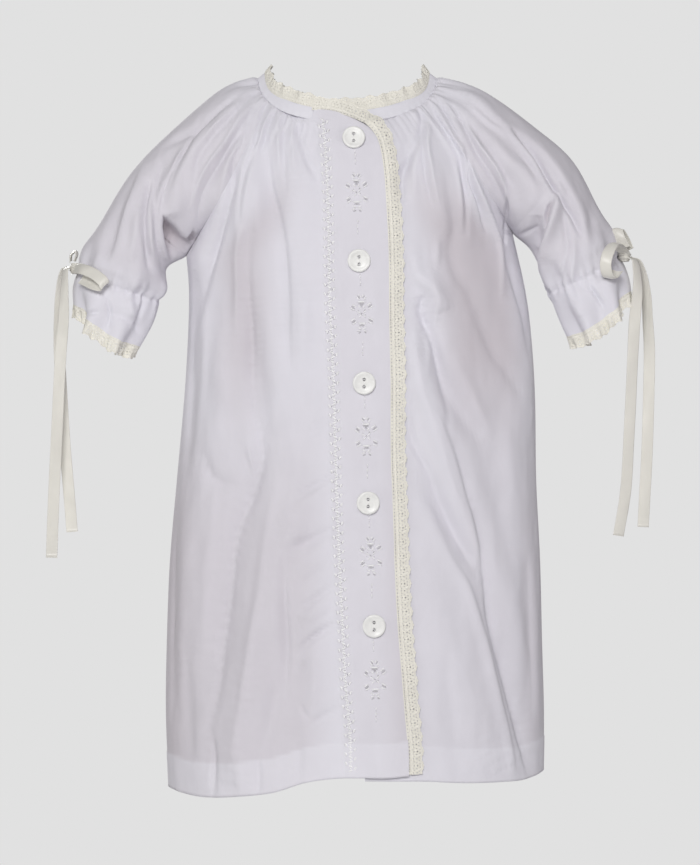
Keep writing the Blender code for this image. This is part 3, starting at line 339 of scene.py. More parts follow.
BACK_CREASES = [
    (-40.0, -50.0, -50.0, -110.0, -56.0, -180.0, 8.0, -3.0),
    (-18.0, -60.0, -22.0, -160.0, -30.0, -260.0, 10.0, 3.0),
    (6.0, -55.0, 8.0, -170.0, 2.0, -300.0, 9.0, -3.2),
    (34.0, -50.0, 44.0, -130.0, 52.0, -220.0, 8.0, 3.0),
    (62.0, -120.0, 72.0, -220.0, 70.0, -330.0, 9.0, -3.4),
    (-72.0, -150.0, -84.0, -260.0, -84.0, -400.0, 10.0, 3.4),
    (-50.0, -240.0, -54.0, -330.0, -60.0, -430.0, 9.0, -4.2),
    (-14.0, -280.0, -8.0, -360.0, -12.0, -432.0, 10.0, 4.0),
    (28.0, -250.0, 34.0, -340.0, 28.0, -430.0, 9.0, -3.8),
    (60.0, -290.0, 66.0, -360.0, 74.0, -428.0, 10.0, 3.8),
    (94.0, -140.0, 98.0, -240.0, 100.0, -330.0, 9.0, 2.4),
]
SLEEVE_CREASES = [
    (-70.0, -18.0, -92.0, -40.0, -112.0, -72.0, 5.0, 2.6),
    (-84.0, -24.0, -108.0, -46.0, -130.0, -84.0, 4.5, -2.2),
    (-62.0, -30.0, -80.0, -52.0, -98.0, -84.0, 4.0, -2.0),
    (-140.0, -86.0, -147.0, -104.0, -150.0, -118.0, 4.0, -2.2),
    (-124.0, -78.0, -128.0, -100.0, -130.0, -126.0, 5.0, 2.4),
    (-112.0, -86.0, -109.0, -98.0, -108.0, -112.0, 5.5, -6.0),
    (68.0, -8.0, 96.0, -38.0, 122.0, -70.0, 5.0, 2.6),
    (60.0, -20.0, 84.0, -46.0, 104.0, -80.0, 4.0, -2.2),
    (126.0, -72.0, 122.0, -92.0, 119.0, -116.0, 4.0, 3.8),
    (112.0, -86.0, 112.0, -98.0, 113.0, -110.0, 5.0, -5.0),
    (146.0, -80.0, 148.0, -98.0, 150.0, -112.0, 4.0, -2.2),
]

# Gathers at the neck: angle round the neck, half width, height, length
GATHERS = [
    (-66.0, 2.6, 1.5, 46.0),
    (-54.0, 2.4, 1.6, 52.0),
    (-45.5, 2.2, 1.5, 40.0),
    (-38.0, 2.0, 1.2, 30.0),
    (-31.0, 2.0, 0.8, 22.0),
    (45.0, 2.4, 1.5, 36.0),
    (52.0, 2.4, 1.7, 54.0),
    (61.0, 2.6, 1.5, 48.0),
    (69.0, 2.6, 1.4, 40.0),
    (-77.0, 2.6, 1.5, 44.0),
    (-88.0, 2.6, 1.5, 38.0),
    (-100.0, 2.6, 1.5, 46.0),
    (-112.0, 2.6, 1.4, 38.0),
    (-123.0, 2.6, 1.5, 44.0),
    (78.0, 2.6, 1.5, 50.0),
    (88.0, 2.6, 1.4, 38.0),
    (99.0, 2.6, 1.5, 44.0),
    (111.0, 2.6, 1.5, 36.0),
    (122.0, 2.6, 1.4, 44.0),
    (136.0, 2.6, 1.5, 50.0),
    (146.0, 2.6, 1.4, 42.0),
    (156.0, 2.6, 1.5, 54.0),
    (167.0, 2.6, 1.4, 40.0),
    (178.0, 2.6, 1.5, 50.0),
    (-171.0, 2.6, 1.4, 44.0),
    (-160.0, 2.6, 1.5, 52.0),
    (-149.0, 2.6, 1.4, 42.0),
    (-138.0, 2.6, 1.5, 48.0),
]


def row_slopes(keys, rows):
    """Slopes at the rows of a smooth curve through them."""
    steps = np.diff(keys).reshape((-1,) + (1,) * (rows.ndim - 1))
    slopes = np.diff(rows, axis=0) / steps
    tangents = np.empty_like(rows)
    tangents[0] = slopes[0]
    tangents[-1] = slopes[-1]
    middle = slopes[1:] * steps[:-1] + slopes[:-1] * steps[1:]
    tangents[1:-1] = middle / (steps[:-1] + steps[1:])
    return tangents


def smooth_rows(keys, rows, at):
    """Values on smooth curves through the rows at the given keys."""
    keys = np.asarray(keys, float)
    rows = np.asarray(rows, float)
    shape = (-1,) + (1,) * (rows.ndim - 1)
    tangents = row_slopes(keys, rows)
    at = np.clip(np.asarray(at, float), keys[0], keys[-1])
    index = np.clip(np.searchsorted(keys, at, side="right") - 1, 0, len(keys) - 2)
    span = np.diff(keys)[index]
    f = ((at - keys[index]) / span).reshape(shape)
    span = span.reshape(shape)
    start = rows[index] * (2 * f**3 - 3 * f**2 + 1) + tangents[index] * span * (f**3 - 2 * f**2 + f)
    end = rows[index + 1] * (3 * f**2 - 2 * f**3) + tangents[index + 1] * span * (f**3 - f**2)
    return start + end


def smooth_each(keys, rows, at):
    """As smooth_rows, with a key of its own for each point of the rows."""
    keys = np.asarray(keys, float)
    rows = np.asarray(rows, float)
    tangents = row_slopes(keys, rows)
    at = np.clip(at, keys[0], keys[-1])
    index = np.clip(np.searchsorted(keys, at, side="right") - 1, 0, len(keys) - 2)
    which = np.arange(len(at))
    span = np.diff(keys)[index][:, None]
    f = (at - keys[index])[:, None] / span
    start = rows[index, which] * (2 * f**3 - 3 * f**2 + 1)
    start += tangents[index, which] * span * (f**3 - 2 * f**2 + f)
    end = rows[index + 1, which] * (3 * f**2 - 2 * f**3)
    end += tangents[index + 1, which] * span * (f**3 - f**2)
    return start + end


def table_curve(table, at, key=0, value=1):
    """A column of a short table as a smooth curve over another column."""
    rows = sorted(table, key=lambda row: row[key])
    at = np.asarray(at, float)
    curve = smooth_rows([row[key] for row in rows], [row[value] for row in rows], at.ravel())
    return curve.reshape(at.shape)


def ramp(value, start, end):
    f = np.clip((value - start) / (end - start), 0.0, 1.0)
    return f * f * (3 - 2 * f)


def turned(amount):
    """1 where a surface is turned well to the front or back, by its normal's share there."""
    return ramp(amount, 0.05, 0.5)


def neck_points(angles, up=0.0, out=0.0):
    """The neck ring at angles from the front centre, up the band and out from it."""
    angles = np.radians(np.asarray(angles, float))
    cosine = np.cos(angles)
    front = cosine > 0
    lean = BAND_LEAN_FRONT + (BAND_LEAN_SIDE - BAND_LEAN_FRONT) * np.sin(angles) ** 6
    inward = lean * np.asarray(up, float) - np.asarray(out, float)
    depth = np.where(front, NECK_FRONT, NECK_BACK)
    drop = np.where(front, NECK_DROP_FRONT, NECK_DROP_BACK)
    rounded = (np.sqrt(cosine**2 + 0.08**2) - 0.08) / (math.sqrt(1 + 0.08**2) - 0.08)
    x = NECK_X + (NECK_HALF_WIDTH - inward) * np.sin(angles)
    y = -(depth - inward) * cosine
    z = NECK_TOP - drop * rounded**0.8 + np.asarray(up, float) * np.sqrt(1 - lean**2)
    return np.stack(np.broadcast_arrays(x, y, z), axis=-1)


def sleeve_section(row, t):
    """One sleeve section: t runs from -1 at the front seam to 1 at the back seam."""
    _, ridge_x, ridge_z, seam_x, seam_z, centre_y, depth, sweep, tilt = row
    sweep = math.radians(sweep)
    angle = t * sweep
    share = (np.cos(angle) - math.cos(sweep)) / (1 - math.cos(sweep))
    x = seam_x + (ridge_x - seam_x) * share
    y = centre_y + depth * np.sin(angle)
    z = seam_z + (ridge_z - seam_z) * share + tilt * np.sin(angle)
    return np.stack([x, y, z], axis=-1)


def sleeve_seam(side, back, keys):
    """The raglan seam down to the underarm (key 3) and the underarm seam beyond it."""
    keys = np.asarray(keys, float)
    table = SLEEVE_RIGHT if side < 0 else SLEEVE_LEFT
    end = np.array([1.0 if back else -1.0])
    angle = BACK_RAGLAN_ANGLE if back else RAGLAN_ANGLE
    upper = [neck_points([side * angle])[0]]
    upper += [sleeve_section(row, end)[0] for row in table if row[0] <= 3]
    lower = [sleeve_section(row, end)[0] for row in table if row[0] >= 3]
    above = smooth_rows([0, 1, 2, 3], upper, np.minimum(keys, 3.0))
    names = [row[0] for row in table if row[0] >= 3]
    below = smooth_rows(names, lower, np.maximum(keys, 3.0))
    return np.where((keys < 3)[:, None], above, below)


def body_seam(side, back, keys):
    """The raglan seam down to the underarm (key 3) and the side seam below it."""
    keys = np.asarray(keys, float)
    table = SIDE_RIGHT if side < 0 else SIDE_LEFT
    above = sleeve_seam(side, back, np.minimum(keys, 3.0))
    lower = [sleeve_seam(side, back, [3.0])[0]]
    lower += [np.array([x, 0.0, z]) for z, x in table[1:]]
    below = smooth_rows(np.arange(3, 12), lower, np.maximum(keys, 3.0))
    return np.where((keys < 3)[:, None], above, below)


def sleeve_base(side, t, keys):
    """The sleeve's plain surface on a grid of keys by t."""
    t = np.asarray(t, float)
    keys = np.asarray(keys, float)
    table = SLEEVE_RIGHT if side < 0 else SLEEVE_LEFT
    middle = (RAGLAN_ANGLE + BACK_RAGLAN_ANGLE) / 2
    half = (BACK_RAGLAN_ANGLE - RAGLAN_ANGLE) / 2
    names = [0.0] + [float(row[0]) for row in table]
    ends = np.array([-1.0, 1.0])
    rows = [neck_points(side * (middle + half * t))]
    rows += [sleeve_section(row, t) for row in table]
    end_rows = [neck_points(side * (middle + half * ends))]
    end_rows += [sleeve_section(row, ends) for row in table]
    points = smooth_rows(names, rows, keys)
    got = smooth_rows(names, end_rows, keys)
    for index, end in enumerate(ends):
        wanted = sleeve_seam(side, end > 0, keys)
        weight = ramp(end * t, 0.4, 1.0)
        points += (wanted - got[:, index])[:, None, :] * weight[None, :, None]
    return points


def body_points(back, u, keys, hem=None):
    """Plain front or back points at shares u, from -1 at the right to 1, and keys.
    Keys under 0 run up the neck band, 1 for its height."""
    u, keys = np.broadcast_arrays(np.asarray(u, float), np.asarray(keys, float))
    shape = u.shape
    u = u.ravel()
    keys = keys.ravel()
    neck_angle = RAGLAN_ANGLE if not back else 180.0 - BACK_RAGLAN_ANGLE
    names = [0.0] + [float(row[0]) for row in BODY_ROWS]
    edges = {side: body_seam(side, back, names) for side in (-1, 1)}
    rows = []
    for shares in (u, np.array([-1.0, 1.0])):
        section = [neck_points(180.0 - neck_angle * shares if back else neck_angle * shares)]
        for index, row in enumerate(BODY_ROWS):
            _, centre_x, front_y, front_z, back_y, back_z, sweep = row
            sweep = math.radians(sweep)
            centre_y = back_y if back else front_y
            centre_z = back_z if back else front_z
            share = (1 - np.cos(shares * sweep)) / (1 - math.cos(sweep))
            across = np.abs(np.sin(shares * sweep)) / math.sin(sweep)
            edge = np.where(shares[:, None] < 0, edges[-1][index + 1], edges[1][index + 1])
            x = centre_x + (edge[:, 0] - centre_x) * across
            y = centre_y + (edge[:, 1] - centre_y) * share
            z = centre_z + (edge[:, 2] - centre_z) * share
            if row[0] == 11 and hem is not None:
                z = table_curve(hem, x)
            section.append(np.stack([x, y, z], axis=-1))
        rows.append(section)
    points = smooth_each(names, rows[0], keys)
    got = smooth_rows(names, rows[1], np.clip(keys, 0, None))
    for index, side in enumerate((-1, 1)):
        wanted = body_seam(side, back, np.clip(keys, 0, None))
        weight = ramp(side * u, 0.4, 1.0) * ramp(11.0 - keys, 0.0, 1.0)
        points += (wanted - got[:, index]) * weight[:, None]
    up = np.clip(-keys, 0, None) * BAND_HEIGHT
    angle = 180.0 - neck_angle * u if back else neck_angle * u
    points += neck_points(angle, up) - neck_points(angle)
    return points.reshape(shape + (3,))


def body_base(back, u, keys, hem=None):
    """The plain front or back surface on a grid of keys by u."""
    u = np.asarray(u, float)
    keys = np.asarray(keys, float)
    return body_points(back, u[None, :], keys[:, None], hem)


def front_share(x, z, lap):
    """The share and key of the plain front at x and z in the front view."""
    x, z = np.broadcast_arrays(np.asarray(x, float), np.asarray(z, float))
    hem = HEM_FRONT_RIGHT if lap else HEM_FRONT_LEFT
    u = np.clip(x / 112.0, -0.95, 0.95)
    keys = table_curve([(row[3], row[0]) for row in BODY_ROWS] + [(-30.0, 0.0), (-22.0, -1.0)], z)
    step = 0.01
    for _ in range(14):
        here = body_points(False, u, keys, hem)
        by_u = (body_points(False, u + step, keys, hem) - here) / step
        by_key = (body_points(False, u, keys + step, hem) - here) / step
        gap_x = x - here[..., 0]
        gap_z = z - here[..., 2]
        turn = by_u[..., 0] * by_key[..., 2] - by_u[..., 2] * by_key[..., 0]
        turn = np.where(np.abs(turn) < 1.0, -1.0, turn)
        u = u + np.clip((gap_x * by_key[..., 2] - gap_z * by_key[..., 0]) / turn, -0.2, 0.2)
        keys = keys + np.clip((gap_z * by_u[..., 0] - gap_x * by_u[..., 2]) / turn, -0.6, 0.6)
        u = np.clip(u, -1.0, 1.0)
        keys = np.clip(keys, -2.6, 11.0)
    return u, keys


def grid_normals(points):
    """Unit normals of a grid, facing out of the garment for these grids."""
    down = np.gradient(points, axis=0)
    across = np.gradient(points, axis=1)
    normals = np.cross(down, across)
    return normals / np.maximum(np.linalg.norm(normals, axis=-1, keepdims=True), 1e-9)


def crease_field(points, table):
    """Height of the creases of a table at points, seen from the front."""
    flat = points.reshape(-1, 3)
    height = np.zeros(len(flat))
    f = np.linspace(0, 1, 25)
    for x0, z0, x1, z1, x2, z2, width, rise in table:
        bend_x = 2 * x1 - (x0 + x2) / 2
        bend_z = 2 * z1 - (z0 + z2) / 2
        line_x = x0 * (1 - f) ** 2 + 2 * bend_x * f * (1 - f) + x2 * f**2
        line_z = z0 * (1 - f) ** 2 + 2 * bend_z * f * (1 - f) + z2 * f**2
        gap = (flat[:, 0, None] - line_x) ** 2 + (flat[:, 2, None] - line_z) ** 2
        near = np.argmin(gap, axis=1)
        fade = np.sin(np.pi * (0.04 + 0.92 * near / 24)) ** 0.6
        height += rise * fade * np.exp(-gap[np.arange(len(flat)), near] / width**2)
    return height.reshape(points.shape[:-1])


def gather_field(angles, drop):
    """Height of the neck gathers at angles round the neck and distances down from it."""
    height = np.zeros(np.broadcast(angles, drop).shape)
    for angle, width, rise, length in GATHERS:
        turn = (angles - angle + 180.0) % 360.0 - 180.0
        distance = np.abs(turn) * math.radians(1) * (NECK_RADIUS + 0.55 * drop)
        spread = width * (1 + drop / 40.0)
        fade = np.clip(1 - drop / length, 0, 1) ** 0.8 * ramp(drop, 0.0, FOLD_START)
        height += rise * fade * np.exp(-((distance / spread) ** 2))
    return height


def unit(vectors):
    return vectors / np.maximum(np.linalg.norm(vectors, axis=-1, keepdims=True), 1e-9)


def spread(start, end, count, dense_at=0.0, strength=0.0):
    """Shares from start to end, closer together near the start or the end."""
    f = np.linspace(0, 1, count)
    bent = f + strength * f * (1 - f) * (1 if dense_at > 0.5 else -1)
    return start + (end - start) * bent


def placket_distance(x, z):
    """How far points of the front view are inside the placket's edge."""
    return table_curve(PLACKET_EDGE[3:], z) - x


def lap_lift(points):
    """The rise of the right front where it lies over the left one."""
    inside = placket_distance(points[..., 0], points[..., 2])
    return LAP_RISE * ramp(inside, LAP_WIDTH + 14.0, LAP_WIDTH + 2.0)


def front_base(u, keys, lap):
    """The plain front: its points and normals, and how far they are from the neck."""
    hem = HEM_FRONT_RIGHT if lap else HEM_FRONT_LEFT
    u, keys = np.broadcast_arrays(u, keys)
    points = body_points(False, u, keys, hem)
    step = 0.004
    across = body_points(False, u + step, keys, hem) - body_points(False, u - step, keys, hem)
    down = body_points(False, u, keys + step, hem) - body_points(False, u, keys - step, hem)
    normals = unit(np.cross(down, across))
    drop = np.linalg.norm(points - neck_points(RAGLAN_ANGLE * u), axis=-1)
    drop = np.where(keys < 0, 0.0, drop)
    return u, keys, points, normals, drop


def front_cloth(u, keys, lap):
    """Outer points of a front piece at shares and keys, with its creases and gathers."""
    u, keys, points, normals, drop = front_base(u, keys, lap)
    front = turned(-normals[..., 1]) * ramp(drop, 0.0, CREASE_START)
    height = front * crease_field(points, FRONT_CREASES) + gather_field(RAGLAN_ANGLE * u, drop)
    if lap:
        height = height + lap_lift(points)
    return points + normals * height[..., None], normals


# Colours
CLOTH_COLOUR = (0.82, 0.815, 0.87)
SINGLE_TINT = (0.95, 0.945, 0.95)
# Below: the mauve grey of painted shade, which the cloth darkens towards at its sides, low down, on the
# placket and sleeves and in the underarm hollow
PAINTED_SHADE_TINT = (0.855, 0.825, 0.82)
LACE_COLOUR = (0.9, 0.88, 0.795)
THREAD_COLOUR = (0.95, 0.95, 0.96)
RIBBON_COLOUR = (0.80, 0.785, 0.72)
PEARL_COLOUR = (0.88, 0.885, 0.86)
# Holes and slits are drawn in these greys: painted shade in the openings
HOLE_SHADE_COLOUR = (0.56, 0.55, 0.58)
SEAM_HOLE_SHADE_COLOUR = (0.665, 0.655, 0.62)
BACKDROP_COLOUR = (0.753, 0.753, 0.753)
AMBIENT_COLOUR = (1.0, 0.98, 1.0)
AMBIENT = 0.22
HEM_SHADE = 0.6

# Feather stitch strip's top, end and pitch, and the pitches of the hemstitch holes, the
# weave and the satin's lines
FEATHER_TOP = -31.0
FEATHER_END = -421.0
FEATHER_PITCH = 2.82
HEMSTITCH_PITCH = 2.2
WEAVE_PITCH = 0.55
SATIN_PITCH = 0.35

# Waves of the crumpled cloth: millimetres across and down, share of the fine ones, height
WIDE_WAVE = (15.0, 42.0)
FINE_WAVE = (6.0, 14.0)
FINE_SHARE = 0.35
CRUMPLE_HEIGHT = 0.8

# Camera and photo: distance and height in metres, a pixel's size in millimetres at y = 0,
# the pixel that shows the origin, the x and z taken to lie straight before the camera,
# and the depths at which places on the cloth are taken to lie. The floor is in metres.
CAMERA_DISTANCE = 2.0
CAMERA_HEIGHT = -0.2186
SENSOR_WIDTH = 36.0
PIXEL = 0.62
PHOTO_HEIGHT = 865
ORIGIN_PIXEL = (352.0, 80.0)
AIM = (-1.2, -218.0)
FOLD_DEPTH = -50.0
SPRIG_DEPTH = -57.0
FLOOR_HALF_WIDTH = 1.1
FLOOR_HEIGHT = -0.72

# Lights: name, place, aim and size in metres, power in watts, colour
LIGHTS = [
    ("key", (-0.25, -2.2, 0.6), (0.0, 0.0, -0.2), (0.7, 0.7), 29.2, (1.0, 0.99, 0.985)),
    ("fill", (1.7, -1.5, 0.0), (0.0, 0.0, -0.2), (1.2, 1.2), 5.6, (1.0, 0.95, 1.0)),
    ("side", (-1.9, -0.9, 0.0), (0.0, 0.0, -0.2), (0.8, 0.8), 4.2, (1.0, 0.99, 0.98)),
    ("rear", (-0.6, 2.2, 0.6), (0.0, 0.0, -0.2), (0.9, 0.9), 26.0, (1.0, 0.99, 0.985)),
]

# Stitched strip's centre line: z, x
STITCH_STRIP = [
    (-23.0, -18.0),
    (-46.0, -16.2),
    (-70.0, -14.8),
    (-110.0, -13.8),
    (-137.0, -13.4),
    (-184.0, -11.2),
    (-231.0, -9.8),
    (-286.0, -8.0),
    (-333.0, -5.6),
    (-370.0, -3.8),
    (-400.0, -1.2),
    (-430.0, -0.6),
]

# Sprigs: places in the photo in pixels, then one sprig's white stitches and the slits that
# they pull open, grey painted shade, each from x, y to x, y in pixels from its place, with a width
SPRIGS = [(356.5, 191.5), (361.5, 313.3), (366.0, 435.7), (370.4, 555.0), (374.5, 678.0)]
SPRIG_STITCHES = [
    (-1.6, -42.0, -1.6, -39.6, 0.8),
    (-1.4, -37.6, -1.4, -35.0, 0.8),
    (-1.2, -31.6, -1.2, -28.8, 0.8),
    (-5.0, -16.2, -1.6, -12.8, 0.9),
    (-3.4, -18.8, -0.2, -15.4, 0.8),
    (1.8, -18.8, 0.2, -15.4, 0.8),
    (4.6, -16.4, 2.0, -13.0, 0.9),
    (-4.2, -11.2, 4.0, -11.2, 1.3),
    (-3.4, -7.4, -0.8, -4.6, 0.8),
    (3.0, -7.4, 1.0, -4.6, 0.8),
    (-9.6, -8.8, -5.0, -5.8, 1.0),
    (-11.2, -5.2, -6.8, -2.6, 1.0),
    (5.0, -7.2, 9.4, -10.6, 1.0),
    (7.0, -3.8, 11.4, -7.4, 1.0),
    (-4.6, -1.6, -0.6, 0.4, 0.9),
    (4.6, -3.0, 1.4, 0.6, 0.9),
    (-2.6, 4.6, 0.4, 1.4, 0.9),
    (1.6, 1.6, 4.2, 4.4, 0.9),
    (-10.6, 8.0, -6.0, 5.0, 1.0),
    (-9.2, 11.6, -4.6, 8.6, 1.0),
    (6.4, 4.6, 11.6, 7.0, 1.0),
    (6.4, 8.4, 11.0, 10.6, 1.0),
    (-3.6, 10.4, 4.6, 10.4, 1.3),
    (-3.6, 14.4, 0.0, 16.2, 0.9),
    (4.6, 14.4, 1.2, 16.2, 0.9),
    (-4.2, 18.6, -0.8, 16.8, 0.9),
    (2.0, 16.8, 5.4, 18.8, 0.9),
    (1.4, 28.6, 1.4, 30.8, 0.8),
    (1.2, 33.6, 1.2, 36.2, 0.8),
    (1.2, 39.0, 1.2, 41.6, 0.8),
]
SPRIG_SLIT_SHADES = [
    (-2.8, -38.6, -0.2, -38.6, 0.7),
    (-2.4, -33.2, 0.0, -33.2, 0.7),
    (-2.4, -27.6, 0.2, -27.2, 0.7),
    (-4.4, -17.6, -1.4, -14.4, 1.1),
    (3.4, -17.8, 1.0, -14.4, 1.0),
    (-3.4, -9.4, 3.0, -9.4, 1.5),
    (-1.2, -7.6, 1.2, -7.6, 1.7),
    (-10.4, -7.0, -6.4, -4.4, 1.4),
    (6.2, -5.4, 10.6, -9.0, 1.4),
    (2.6, -2.2, 3.8, -3.8, 1.3),
    (-3.6, -2.6, -2.6, -2.0, 0.9),
    (-0.6, 0.8, 0.8, 0.6, 1.5),
    (-4.4, 1.6, -3.0, 1.4, 0.8),
    (3.0, 1.4, 4.4, 1.8, 0.8),
    (-9.8, 9.8, -5.6, 7.0, 1.4),
    (6.8, 6.2, 11.4, 8.6, 1.4),
    (-2.8, 12.6, 3.6, 12.6, 1.3),
    (-0.6, 11.9, 1.4, 11.9, 1.4),
    (-3.4, 20.4, 0.0, 18.6, 1.2),
    (2.4, 18.6, 5.0, 20.2, 1.2),
    (0.4, 31.8, 2.4, 31.8, 0.7),
    (0.2, 37.4, 2.2, 37.4, 0.7),
    (0.4, 42.6, 2.4, 42.6, 0.7),
]

# Holes of one repeat of the lace: along, across from the seam's edge, radius
LACE_HOLES = [
    (1.05, 0.85, 0.27),
    (3.15, 0.85, 0.27),
    (5.25, 0.85, 0.27),
    (7.35, 0.85, 0.27),
    (4.2, 5.3, 0.36),
    (2.5, 5.0, 0.24),
    (5.9, 5.0, 0.24),
    (3.2, 6.9, 0.26),
    (5.2, 6.9, 0.26),
    (4.2, 3.5, 0.28),
    (0.0, 3.1, 0.28),
    (1.5, 3.4, 0.24),
    (6.9, 3.4, 0.24),
    (0.0, 5.0, 0.32),
    (0.9, 6.4, 0.24),
    (7.5, 6.4, 0.24),
    (2.8, 2.9, 0.2),
    (5.6, 2.9, 0.2),
]
LACE_SIDE = {"neck_lace": 1.3, "placket_lace": 1.3, "cuff_lace_right": 1.6, "cuff_lace_left": 1.6}
